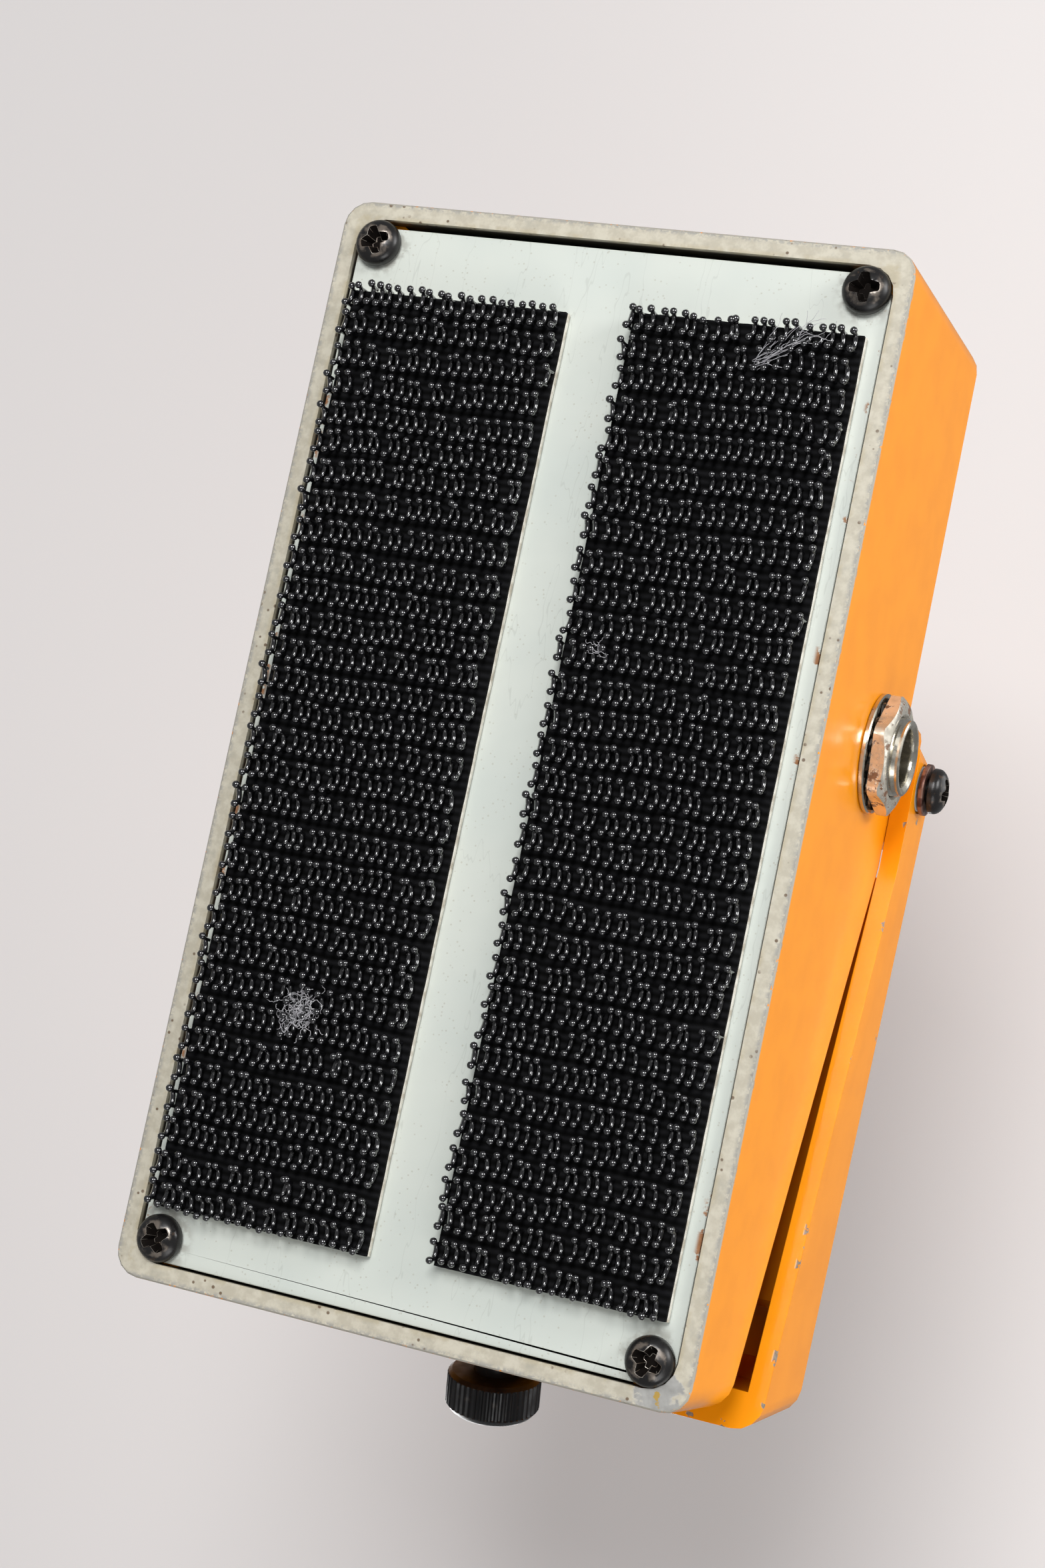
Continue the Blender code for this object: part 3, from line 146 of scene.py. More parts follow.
class Finish:
    """One procedural material, with short ways to add and join its nodes."""

    def __init__(self, name, colour, roughness, metallic=0.0, **constants):
        self.material = bpy.data.materials.new(name)
        self.material.use_nodes = True
        self.tree = self.material.node_tree
        self.shader = self.tree.nodes["Principled BSDF"]
        self.shader.inputs["Base Color"].default_value = (*colour, 1.0)
        self.shader.inputs["Roughness"].default_value = roughness
        self.shader.inputs["Metallic"].default_value = metallic
        for socket, value in constants.items():
            self.shader.inputs[socket.replace("_", " ")].default_value = value
        self.place = self.tree.nodes.new("ShaderNodeTexCoord").outputs["Object"]
        self.split = None

    def join(self, source, socket):
        """Feed a socket with another node's output or with a plain value."""
        if isinstance(source, bpy.types.NodeSocket):
            self.tree.links.new(source, socket)
        elif hasattr(source, "__len__") and len(source) == 3 and socket.type == "RGBA":
            socket.default_value = (*source, 1.0)
        else:
            socket.default_value = source

    def axis(self, letter):
        """The X, Y or Z of a point on the piece."""
        if self.split is None:
            self.split = self.tree.nodes.new("ShaderNodeSeparateXYZ")
            self.join(self.place, self.split.inputs[0])
        return self.split.outputs[letter]

    def calc(self, operation, first, second=0.0):
        node = self.tree.nodes.new("ShaderNodeMath")
        node.operation = operation
        self.join(first, node.inputs[0])
        self.join(second, node.inputs[1])
        return node.outputs[0]

    def both(self, first, second):
        return self.calc("MULTIPLY", first, second)

    def either(self, first, second):
        return self.calc("MAXIMUM", first, second)

    def less(self, first, second):
        return self.calc("SUBTRACT", first, second)

    def apart(self, letter, middle):
        """How far a point is along one axis from a middle, either way."""
        return self.calc("ABSOLUTE", self.less(self.axis(letter), middle))

    def span(self, across, along):
        """The length of a step with these two parts."""
        return self.calc("SQRT", self.calc("ADD", self.both(across, across), self.both(along, along)))

    def step(self, value, start, end, low=0.0, high=1.0):
        """Ease from low to high as the value goes from start to end."""
        node = self.tree.nodes.new("ShaderNodeMapRange")
        node.interpolation_type = "SMOOTHSTEP"
        for amount, socket in zip((value, start, end, low, high), node.inputs):
            self.join(amount, socket)
        return node.outputs[0]

    def stretched(self, scale):
        """The piece's coordinates, scaled along each axis."""
        node = self.tree.nodes.new("ShaderNodeMapping")
        self.join(self.place, node.inputs["Vector"])
        node.inputs["Scale"].default_value = scale
        return node.outputs[0]

    def noise(self, scale, detail=3.0, rough=0.5, where=None):
        node = self.tree.nodes.new("ShaderNodeTexNoise")
        self.join(where or self.place, node.inputs["Vector"])
        node.inputs["Scale"].default_value = scale
        node.inputs["Detail"].default_value = detail
        node.inputs["Roughness"].default_value = rough
        return node.outputs["Fac"]

    def specks(self, scale, radius):
        """1 inside small round dots, 0 elsewhere."""
        node = self.tree.nodes.new("ShaderNodeTexVoronoi")
        self.join(self.place, node.inputs["Vector"])
        node.inputs["Scale"].default_value = scale
        return self.step(node.outputs["Distance"], radius, radius * 0.6)

    def blend(self, amount, first, second):
        node = self.tree.nodes.new("ShaderNodeMix")
        node.data_type = "RGBA"
        self.join(amount, node.inputs[0])
        self.join(first, node.inputs[6])
        self.join(second, node.inputs[7])
        return node.outputs[2]

    def set(self, socket, source):
        self.join(source, self.shader.inputs[socket])

    def relief(self, height, depth):
        """Bump of a real depth in metres."""
        node = self.tree.nodes.new("ShaderNodeBump")
        node.inputs["Strength"].default_value = 1.0
        node.inputs["Distance"].default_value = depth
        self.join(height, node.inputs["Height"])
        self.join(node.outputs[0], self.shader.inputs["Normal"])


def as_mesh(made):
    """Put what an object's modifiers make into its mesh, and take the modifiers off."""
    result = bpy.data.meshes.new_from_object(made.evaluated_get(bpy.context.evaluated_depsgraph_get()))
    made.modifiers.clear()
    made.data = result


def settle(name, shape, finish, body, *stands_for, sharp=35.0, modifiers=(), also=(), slot=None):
    """Turn a finished shape into a smooth-shaded piece that rides on a body and stands for CAD nodes."""
    mesh = bpy.data.meshes.new(name)
    shape.to_mesh(mesh)
    shape.free()
    for coat in (finish, *also):
        mesh.materials.append(coat.material)
    mesh.shade_smooth()
    mesh.set_sharp_from_angle(angle=math.radians(sharp))
    made = bpy.data.objects.new(name, mesh)
    bpy.context.collection.objects.link(made)
    for kind, settings in modifiers:
        step = made.modifiers.new(kind.lower(), kind)
        for key, value in settings.items():
            setattr(step, key, value)
    weight = made.modifiers.new("flat_faces_first", "WEIGHTED_NORMAL")
    weight.keep_sharp = True
    as_mesh(made)
    if stands_for:
        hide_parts(*stands_for)
    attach(made, body)
    return made


def merged(node):
    """A CAD solid as one clean shape: its doubled corners joined and its flat faces whole."""
    shape = bmesh.new()
    shape.from_mesh(nodes[node].data)
    bmesh.ops.remove_doubles(shape, verts=shape.verts, dist=0.002 * MM)
    bmesh.ops.dissolve_limit(shape, angle_limit=math.radians(0.3), verts=shape.verts, edges=shape.edges)
    return shape


def soften(shape, wanted, radius, segments=2):
    """Round the edges that a test picks."""
    shape.normal_update()
    chosen = [edge for edge in shape.edges if len(edge.link_faces) == 2 and edge.calc_face_angle(0) > 0.5
              and wanted((edge.verts[0].co + edge.verts[1].co) / 2)]
    bmesh.ops.bevel(shape, geom=chosen, offset=radius, offset_type="OFFSET", segments=segments,
                    profile=0.5, affect="EDGES", clamp_overlap=True)


half_width = body_high.x
half_length = body_high.y - body_middle_y
ORANGE = (0.96, 0.325, 0.004)
ORANGE_SHADE = (ORANGE[0] * 0.95, ORANGE[1] * 0.93, ORANGE[2])


def orange_enamel(name):
    return Finish(name, ORANGE, 0.2, Specular_IOR_Level=0.3, Coat_Weight=0.03)


def wear_enamel(coat, chips, line):
    """Orange with grey and brown chips where the mask is 1, soft mottling and a faint orange peel."""
    orange = coat.blend(coat.step(coat.noise(180.0, 2.0), 0.35, 0.7), ORANGE, ORANGE_SHADE)
    bare = coat.blend(coat.noise(2600.0), (0.1, 0.08, 0.06), (0.42, 0.39, 0.33))
    coat.set("Base Color", coat.blend(line, coat.blend(chips, orange, bare), (0.36, 0.34, 0.29)))
    coat.set("Roughness", coat.step(coat.either(chips, line), 0.0, 1.0, 0.2, 0.55))
    coat.relief(coat.calc("ADD", coat.noise(420.0, 1.0), coat.both(chips, -6.0)), 0.006 * MM)


def shell_enamel():
    """Enamel that is chipped and worn through along the bottom rim, with a few stray knocks."""
    coat = orange_enamel("orange_enamel")
    above_rim = coat.less(coat.axis("Z"), rim_z)
    scuff = coat.noise(1500.0, 4.0, 0.7)
    near_rim = coat.step(above_rim, 0.75 * MM, 0.1 * MM)
    rim_chips = coat.both(near_rim, coat.step(coat.noise(520.0, 4.0, 0.7), 0.56, 0.62))
    stray = coat.both(coat.specks(95.0, 0.05), coat.step(scuff, 0.5, 0.56))
    rim_line = coat.both(coat.step(above_rim, 0.3 * MM, 0.14 * MM), coat.step(scuff, 0.32, 0.4))
    wear_enamel(coat, coat.either(rim_chips, stray), rim_line)
    return coat


def undercoat_and_lining_shade():
    """Beige undercoat: grimy, grey at the outer edge, tan at the inner one, and bare at one corner; painted
    shade, near-black, on the inner walls above the rim.
    """
    coat = Finish("undercoat_and_lining_shade", (0.54, 0.5, 0.4), 0.5)
    inset = coat.calc("MINIMUM", coat.less(half_width, coat.apart("X", 0.0)),
                      coat.less(half_length, coat.apart("Y", body_middle_y)))
    grime = coat.noise(330.0, 5.0, 0.65)
    film = coat.blend(coat.step(coat.noise(760.0, 5.0, 0.6), 0.36, 0.64), (0.47, 0.43, 0.34),
                      (0.57, 0.53, 0.43))
    film = coat.blend(coat.step(grime, 0.5, 0.72, 0.0, 0.6), film, (0.36, 0.34, 0.28))
    outer = coat.both(coat.step(inset, 0.85 * MM, 0.1 * MM),
                      coat.step(coat.noise(1700.0, 5.0, 0.7), 0.42, 0.56))
    film = coat.blend(outer, film, (0.3, 0.29, 0.27))
    inner = coat.both(coat.step(inset, 1.3 * MM, 1.95 * MM), coat.step(grime, 0.44, 0.56))
    film = coat.blend(coat.both(inner, 0.5), film, (0.44, 0.37, 0.23))
    specks = coat.both(coat.specks(900.0, 0.22), coat.step(coat.noise(240.0), 0.5, 0.6))
    film = coat.blend(specks, film, (0.16, 0.11, 0.07))
    from_corner = coat.span(coat.calc("ADD", coat.axis("X"), half_width - 3.6 * MM),
                            coat.less(coat.axis("Y"), body_low.y + 1.6 * MM))
    ragged = coat.calc("ADD", from_corner, coat.both(coat.less(grime, 0.5), 7.0 * MM))
    worn = coat.step(ragged, 2.9 * MM, 2.3 * MM)
    metal = coat.blend(coat.noise(900.0, 4.0), (0.3, 0.29, 0.27), (0.85, 0.84, 0.8))
    film = coat.blend(worn, film, metal)
    # Painted shade: on the inner walls the undercoat turns near-black from 0.35 mm to 1 mm above the rim.
    depth = coat.less(coat.axis("Z"), rim_z)
    film = coat.blend(coat.step(depth, 0.35 * MM, 1.0 * MM), film, (0.03, 0.025, 0.018))
    yellow = coat.step(ragged, 0.45 * MM, 0.2 * MM)
    coat.set("Base Color", coat.blend(yellow, film, (0.72, 0.47, 0.12)))
    coat.set("Metallic", coat.both(worn, 0.6))
    coat.set("Roughness", coat.step(worn, 0.0, 1.0, 0.5, 0.3))
    coat.relief(coat.noise(700.0, 3.0), 0.02 * MM)
    return coat


def on_rim_edge(at):
    past_corner = max(abs(at.x) - half_width, abs(at.y - body_middle_y) - half_length)
    return at.z < rim_z + 0.02 * MM and past_corner > -1.6 * MM


shell_shape = merged("body_shell")
soften(shell_shape, on_rim_edge, 0.22 * MM)
shell = settle("shell", shell_shape, shell_enamel(), "base", "body_shell", also=(undercoat_and_lining_shade(),),
               slot="orange_enamel")
# The rim and the inner walls near it take the undercoat; on the inner walls it is painted shade, near-black
# above the rim.
vertex_z = [vertex.co.z for vertex in shell.data.vertices]
for face in shell.data.polygons:
    outward = Vector((face.center.x, face.center.y - body_middle_y, 0.0))
    is_rim = face.center.z < rim_z + 0.02 * MM and face.normal.z < -0.9
    is_lining = (outward.dot(face.normal) < 0.0 and abs(face.normal.z) < 0.5
                 and min(vertex_z[index] for index in face.vertices) < rim_z + 3 * MM)
    if is_rim or is_lining:
        face.material_index = 1

# ---- Treadle ----
# A second die-casting in the same enamel.  It wraps over the body's front half, turns on the two
# hinge screws, and is chipped along the lower outer edges of its flanges and lip.
treadle_low, treadle_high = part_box("treadle")
FLANGE_EDGE_HEIGHT = 34.6 * MM
FLANGE_EDGE_SLOPE = 0.2


def treadle_enamel():
    """Enamel that is chipped along the flanges' sloping lower edge and the lip's."""
    coat = orange_enamel("treadle_enamel")
    run = coat.calc("MINIMUM", coat.less(coat.axis("Y"), body_middle_y), 0.0)
    edge_z = coat.calc("ADD", rim_z + FLANGE_EDGE_HEIGHT, coat.both(run, FLANGE_EDGE_SLOPE))
    above_edge = coat.less(coat.axis("Z"), edge_z)
    outside = coat.either(
        coat.step(coat.apart("X", 0.0), treadle_high.x - 0.55 * MM, treadle_high.x - 0.3 * MM),
        coat.step(coat.axis("Y"), treadle_low.y + 0.9 * MM, treadle_low.y + 0.55 * MM))
    corner = coat.step(coat.axis("Y"), treadle_low.y + 14 * MM, treadle_low.y + 2 * MM, 0.0, 0.06)
    rubbed = coat.calc("ADD", coat.noise(300.0, 4.0, 0.65), corner)
    along_edge = coat.both(coat.step(above_edge, 0.5 * MM, 0.2 * MM), outside)
    chips = coat.both(along_edge, coat.step(rubbed, 0.625, 0.65))
    knocks = coat.both(coat.specks(120.0, 0.07), coat.step(coat.noise(1500.0, 4.0), 0.5, 0.55))
    wear_enamel(coat, coat.either(chips, knocks), 0.0)
    return coat


treadle_shape = merged("treadle")
flange_inside = half_width + 0.3 * MM
for vert in treadle_shape.verts:
    if abs(abs(vert.co.x) - flange_inside) < 0.02 * MM:
        vert.co.x -= math.copysign(0.2 * MM, vert.co.x)
soften(treadle_shape, lambda at: abs(at.x) > treadle_high.x - 0.05 * MM or at.y < treadle_low.y + 1.5 * MM,
       0.25 * MM)
settle("treadle_casting", treadle_shape, treadle_enamel(), "treadle", "treadle", slot="orange_enamel")

# ---- Base plate ----
# A flat steel pressing in pale grey-green paint, dropped into the rim and held by four screws.  Its
# paint has fine brown specks, hair scratches and rust along one long edge.
plate_low, plate_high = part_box("base_plate")
screw_low, screw_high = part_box("base_screw_1")
screw_x = (abs(screw_low.x) + abs(screw_high.x)) / 2
screw_y = (screw_low.y + screw_high.y) / 2 - body_middle_y


def plate_paint():
    coat = Finish("plate_paint", (0.6, 0.64, 0.59), 0.42, Specular_IOR_Level=0.45)
    tone = coat.blend(coat.step(coat.noise(55.0, 3.0), 0.35, 0.65), (0.585, 0.625, 0.58), (0.63, 0.66, 0.605))
    dust = coat.both(coat.specks(1500.0, 0.2), coat.step(coat.noise(260.0), 0.44, 0.56))
    tone = coat.blend(coat.both(dust, 0.4), tone, (0.36, 0.33, 0.25))
    wander = coat.less(coat.noise(46.0, 4.0, 0.6, coat.stretched((3.0, 0.55, 1.0))), 0.5)
    hair = coat.step(coat.calc("ABSOLUTE", wander), 0.0035, 0.001)
    tone = coat.blend(coat.both(hair, 0.3), tone, (0.4, 0.42, 0.38))
    from_edge = coat.calc("MINIMUM", coat.less(coat.axis("X"), plate_low.x),
                          coat.less(plate_high.x, coat.axis("X")))
    rust = coat.both(coat.step(from_edge, 0.75 * MM, 0.2 * MM),
                     coat.step(coat.noise(210.0, 5.0, 0.7), 0.56, 0.61))
    tone = coat.blend(rust, tone, coat.blend(coat.noise(2200.0), (0.2, 0.07, 0.025), (0.48, 0.24, 0.11)))
    from_screw = coat.span(coat.less(coat.apart("X", 0.0), screw_x),
                           coat.less(coat.apart("Y", body_middle_y), screw_y))
    halo = coat.both(coat.step(from_screw, 4.3 * MM, 2.8 * MM), coat.step(coat.noise(800.0, 4.0), 0.42, 0.62))
    coat.set("Base Color", coat.blend(coat.both(halo, 0.6), tone, (0.3, 0.29, 0.25)))
    coat.set("Roughness", coat.step(rust, 0.0, 1.0, 0.42, 0.85))
    coat.relief(coat.calc("ADD", coat.noise(900.0, 2.0), coat.both(rust, -2.0)), 0.008 * MM)
    return coat


plate_shape = merged("base_plate")
soften(plate_shape, lambda at: at.z < plate_low.z + 0.02 * MM, 0.14 * MM)
settle("plate", plate_shape, plate_paint(), "base", "base_plate", slot="grey_painted_steel")

# ---- Cross-head screws ----
# Pan-head machine screws in black oxide: four in the base, two for the hinge, three for the board and
# one for the guide fork.  The oxide is rubbed to brown and bright steel around each recess.
# The cross recesses are painted near-black: painted shade inside each hole.


def skin(shape, rings, closed=False):
    """Join each ring of points to the next.  Cap the two ends, or close the rings on themselves."""
    for lower, upper in zip(rings, rings[1:] + (rings[:1] if closed else [])):
        for k in range(len(lower)):
            after = (k + 1) % len(lower)
            shape.faces.new((lower[k], lower[after], upper[after], upper[k]))
    if not closed:
        shape.faces.new(rings[0])
        shape.faces.new(rings[-1])


def stand(shape, start, aim, spin=0.0):
    """Turn a shape made along +Z so that it points along an aim from its start."""
    turn = Vector(aim).to_track_quat("Z", "Y").to_matrix().to_4x4() @ Matrix.Rotation(spin, 4, "Z")
    bmesh.ops.transform(shape, matrix=Matrix.Translation(Vector(start)) @ turn, verts=shape.verts)
    bmesh.ops.recalc_face_normals(shape, faces=shape.faces)
    return shape


def around(shape, radius, height, sides):
    """A ring of points about Z."""
    return [shape.verts.new((radius * math.cos(2 * math.pi * k / sides),
                             radius * math.sin(2 * math.pi * k / sides), height)) for k in range(sides)]


def lathe(profile, start, aim, sides=32, closed=False):
    """Turn (radius, distance) points about an axis."""
    shape = bmesh.new()
    rings = [around(shape, radius, along, sides if radius > 0.0 else 1) for radius, along in profile]
    for lower, upper in zip(rings, rings[1:] + (rings[:1] if closed else [])):
        for k in range(sides):
            after = (k + 1) % sides
            corners = (lower[k % len(lower)], lower[after % len(lower)],
                       upper[after % len(upper)], upper[k % len(upper)])
            unique = list(dict.fromkeys(corners))
            if len(unique) > 2:
                shape.faces.new(unique)
    if not closed:
        for ends in (rings[0], rings[-1]):
            if len(ends) > 1:
                shape.faces.new(ends)
    return stand(shape, start, aim)


def cross_recess(start, aim, spin, size, depth):
    """The tapered four-wing hole that a cross-head driver fits."""
    half, hub, tip = 0.27 * size, 0.38 * size, 0.45
    outline = [(size * 0.96, half * 0.5), (size * 0.9, half), (hub, hub), (half, size * 0.9),
               (half * 0.5, size * 0.96)]
    quarters = [Matrix.Rotation(math.pi / 2 * k, 2) @ Vector(point) for k in range(4) for point in outline]
    shape = bmesh.new()
    skin(shape, [[shape.verts.new((share * x, share * y, z)) for x, y in quarters]
                 for share, z in ((1.12, depth * 0.35), (1.0, 0.0), (0.72, -depth * 0.6), (tip, -depth))])
    return stand(shape, start, aim, spin)


def cutter(name, shape, *coats):
    """An object whose cut takes the last of the coats.  It is removed once it has been used."""
    mesh = bpy.data.meshes.new(name)
    shape.to_mesh(mesh)
    shape.free()
    for coat in coats:
        mesh.materials.append(coat.material)
    for face in mesh.polygons:
        face.material_index = len(coats) - 1
    made = bpy.data.objects.new(name, mesh)
    bpy.context.collection.objects.link(made)
    return made


def oxide(name, centre, head):
    """Glossy black oxide, rubbed to brown and grey in a ring round the recess of one screw's head."""
    coat = Finish(name, (0.02, 0.019, 0.019), 0.25, 0.4, Specular_IOR_Level=0.6)
    away = coat.tree.nodes.new("ShaderNodeVectorMath")
    away.operation = "DISTANCE"
    coat.join(coat.place, away.inputs[0])
    away.inputs[1].default_value = centre
    grain = coat.noise(900.0, 5.0, 0.7)
    reach = coat.calc("ADD", away.outputs["Value"], coat.both(coat.less(grain, 0.5), 0.5 * head))
    ring = coat.both(coat.step(reach, 0.84 * head, 0.7 * head), coat.step(coat.noise(620.0, 3.0), 0.44, 0.6))
    brown = coat.step(coat.noise(650.0, 4.0, 0.7), 0.6, 0.68)
    tone = coat.blend(coat.both(brown, 0.5), (0.018, 0.017, 0.017), (0.12, 0.07, 0.04))
    coat.set("Base Color", coat.blend(coat.both(ring, 0.7), tone, (0.24, 0.2, 0.165)))
    coat.set("Roughness", coat.step(coat.noise(500.0, 3.0), 0.3, 0.7, 0.2, 0.38))
    coat.relief(grain, 0.004 * MM)
    return coat


def mottled(name, low, high, roughness, metallic=0.0, patches=(), gloss=(), grain=(), **constants):
    """A finish that goes from one colour to another in patches, with uneven gloss and a fine grain.

    patches are noise scale, detail and, where they have edges, two levels; gloss is scale, detail and the
    two roughnesses; grain is scale, detail and depth in millimetres.
    """
    coat = Finish(name, low, roughness, metallic, **constants)
    if patches:
        share = coat.noise(*patches[:2])
        share = coat.step(share, *patches[2:]) if patches[2:] else share
        coat.set("Base Color", coat.blend(share, low, high))
    if gloss:
        coat.set("Roughness", coat.step(coat.noise(*gloss[:2]), 0.3, 0.7, *gloss[2:]))
    if grain:
        coat.relief(coat.noise(*grain[:2]), grain[2] * MM)
    return coat


# Painted shade: the cut faces of each cross recess take this near-black, so the hole reads dark.
recess_painted_shade = mottled("recess_painted_shade", (0.004, 0.003, 0.003), (0.014, 0.011, 0.009), 0.8,
                       patches=(900.0, 3.0), grain=(1400.0, 3.0, 0.01), Specular_IOR_Level=0.05)
worn_steel = mottled("worn_steel_edge", (0.62, 0.57, 0.5), (0.2, 0.15, 0.11), 0.3, 0.35,
                     patches=(700.0, 4.0, 0.4, 0.6), grain=(1500.0, 3.0, 0.006))


def cross_head_screw(node, aim, spin):
    """Head, recess and shank of one screw, at its CAD place."""
    low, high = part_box(node)
    aim = Vector(aim)
    along = max(range(3), key=lambda k: abs(aim[k]))
    across = (along + 1) % 3
    head = (high[across] - low[across]) / 2
    centre = (low + high) / 2
    centre[along] = high[along] if aim[along] > 0 else low[along]
    rise = 0.74 * head
    reach = high[along] - low[along] - rise
    shank = 0.52 * head
    dome = [(head * math.sin(angle), -rise * 0.62 * (1 - math.cos(angle)) / (1 - math.cos(1.45)))
            for angle in [1.45 * k / 9 for k in range(10)]]
    profile = dome + [(head, -rise * 0.72), (head, -rise * 0.93), (head * 0.94, -rise), (shank, -rise),
                      (shank, -rise - reach + 0.3 * MM), (shank * 0.7, -rise - reach), (0.0, -rise - reach)]
    coat = oxide(node + "_oxide", centre, head)
    recess = cutter(node + "_recess", cross_recess(centre, aim, spin, 0.72 * head, 0.7 * head), coat,
                    recess_painted_shade)
    settle(node + "_steel", lathe(profile, centre, aim, 40), coat, "base", node, sharp=40.0,
           also=(recess_painted_shade, worn_steel), slot="black_steel",
           modifiers=(("BOOLEAN", {"object": recess, "operation": "DIFFERENCE", "solver": "EXACT"}),
                      ("BEVEL", {"width": 0.15 * MM, "segments": 2, "limit_method": "ANGLE",
                                 "angle_limit": math.radians(52), "material": 2})))
    bpy.data.objects.remove(recess, do_unlink=True)


for screw_name, screw_aim, screw_spin in (
        ("base_screw_1", (0, 0, -1), 0.35), ("base_screw_2", (0, 0, -1), 0.1),
        ("base_screw_3", (0, 0, -1), 0.6), ("base_screw_4", (0, 0, -1), -0.35),
        ("hinge_screw_1", (1, 0, 0), 0.2), ("hinge_screw_2", (-1, 0, 0), 0.5),
        ("board_screw_1", (0, 0, -1), 0.0), ("board_screw_2", (0, 0, -1), 0.4),
        ("board_screw_3", (0, 0, -1), 0.9), ("fork_screw", (0, 0, 1), 0.3)):
    cross_head_screw(screw_name, screw_aim, screw_spin)

# ---- Hinge washers and bushes ----
# A thin brown-black spring washer sits under each hinge screw's head, and a nylon bush turns round its
# shank in the treadle's ear.


def rounded(node, name, coat, body, radius, sharp=35.0):
    """A CAD node with all its edges rounded, in its own finish."""
    shape = merged(node)
    if radius:
        soften(shape, lambda at: True, radius * MM)
    settle(name, shape, coat, body, node, sharp=sharp)


washer_coat = mottled("brown_spring_washer", (0.09, 0.035, 0.025), (0.3, 0.17, 0.13), 0.35, 0.6,
                      patches=(900.0, 3.0, 0.4, 0.6), grain=(1200.0, 3.0, 0.01))
nylon = mottled("natural_nylon", (0.78, 0.76, 0.7), (0.86, 0.85, 0.81), 0.45, patches=(300.0, 3.0),
                grain=(1500.0, 3.0, 0.005), Subsurface_Weight=0.1)
for number in (1, 2):
    rounded(f"hinge_washer_{number}", f"hinge_washer_{number}_ring", washer_coat, "base", 0.1)
    rounded(f"hinge_bush_{number}", f"hinge_bush_{number}_ring", nylon, "treadle", 0.1)

# ---- Fastener strips ----
# Two strips of woven tape stuck to the plate.  Each black monofilament stands up in a loop between
# two rows and ends in two round heads; a cream adhesive layer shows along the cut edges.
HEAD_RADIUS = 0.45 * MM
LOOP_SPAN = 2.12 * MM
STRAND_RADIUS = 0.25 * MM
STRAND_SIDES = 5
PITCH_ACROSS = 1.28 * MM
PITCH_ALONG = 3.5 * MM
TAPE_DEPTH = 0.55 * MM
ADHESIVE_DEPTH = 0.45 * MM
EDGE_POINTS = 60
filament_plastic = mottled("filament_plastic", (0.006, 0.006, 0.007), None, 0.12,
                           gloss=(700.0, 3.0, 0.06, 0.2), grain=(2600.0, 2.0, 0.004),
                           Specular_IOR_Level=0.9, Coat_Weight=1.0, Coat_Roughness=0.08)
adhesive = mottled("cream_adhesive", (0.8, 0.77, 0.68), (0.5, 0.45, 0.36), 0.5,
                   patches=(700.0, 4.0, 0.4, 0.65), grain=(900.0, 3.0, 0.03))
tape_weave = Finish("tape_weave", (0.004, 0.004, 0.004), 0.9, Specular_IOR_Level=0.08)
wave = tape_weave.tree.nodes.new("ShaderNodeTexWave")
wave.bands_direction = "Y"
wave.inputs["Scale"].default_value = 330.0
wave.inputs["Distortion"].default_value = 1.2
tape_weave.join(tape_weave.place, wave.inputs["Vector"])
tape_weave.set("Base Color", tape_weave.blend(wave.outputs["Fac"], (0.002, 0.002, 0.002),
                                              (0.009, 0.009, 0.01)))
tape_weave.relief(wave.outputs["Fac"], 0.12 * MM)


def filament_loop():
    """One monofilament: two round heads joined by a low arch, each over a leg that goes down to the tape."""
    shape = bmesh.new()
    for end in (0.0, LOOP_SPAN):
        place = Matrix.Translation((0, end, HEAD_RADIUS * 0.92)) @ Matrix.Diagonal((1, 1, 0.9, 1))
        bmesh.ops.create_uvsphere(shape, u_segments=9, v_segments=6, radius=HEAD_RADIUS, matrix=place)
    path = [(0.0, 0.6), (0.07, 1.0), (0.2, 1.32), (0.38, 1.45), (0.62, 1.45), (0.8, 1.32), (0.93, 1.0),
            (1.0, 0.6)]
    rings = []
    for index, (share, depth) in enumerate(path):
        before, after = path[max(index - 1, 0)], path[min(index + 1, len(path) - 1)]
        run = Vector((0, (after[0] - before[0]) * LOOP_SPAN, (after[1] - before[1]) * MM)).normalized()
        wide = Vector((1.35 if 2 <= index <= 5 else 1.0, 0, 0))
        over = Vector((1, 0, 0)).cross(run)
        centre = Vector((0, share * LOOP_SPAN, depth * MM))
        rings.append([shape.verts.new(centre + STRAND_RADIUS * (wide * math.cos(a) + over * math.sin(a)))
                      for a in [2 * math.pi * k / STRAND_SIDES for k in range(STRAND_SIDES)]])
    skin(shape, rings)
    for share in (0.1, 0.9):
        place = Matrix.Translation((0, share * LOOP_SPAN, 1.7 * MM))
        bmesh.ops.create_cone(shape, segments=STRAND_SIDES, radius1=STRAND_RADIUS, radius2=STRAND_RADIUS,
                              depth=1.2 * MM, matrix=place)
    bmesh.ops.recalc_face_normals(shape, faces=shape.faces)
    return shape


def planting_tree(name, inputs):
    """A Geometry Nodes tree with named inputs, the inputs themselves, and a way to add nodes to it."""
    tree = bpy.data.node_groups.new(name, "GeometryNodeTree")
    tree.interface.new_socket("Geometry", in_out="OUTPUT", socket_type="NodeSocketGeometry")
    for socket, kind in inputs:
        tree.interface.new_socket(socket, in_out="INPUT", socket_type="NodeSocket" + kind)
    given = tree.nodes.new("NodeGroupInput").outputs

    def add(kind, settings=None, **sockets):
        node = tree.nodes.new(kind)
        for key, value in (settings or {}).items():
            setattr(node, key, value)
        for key, value in sockets.items():
            socket = node.inputs[int(key[1:])] if key[1:].isdigit() else node.inputs[key.replace("_", " ")]
            if isinstance(value, bpy.types.NodeSocket):
                tree.links.new(value, socket)
            else:
                socket.default_value = value
        return node

    return tree, given, add


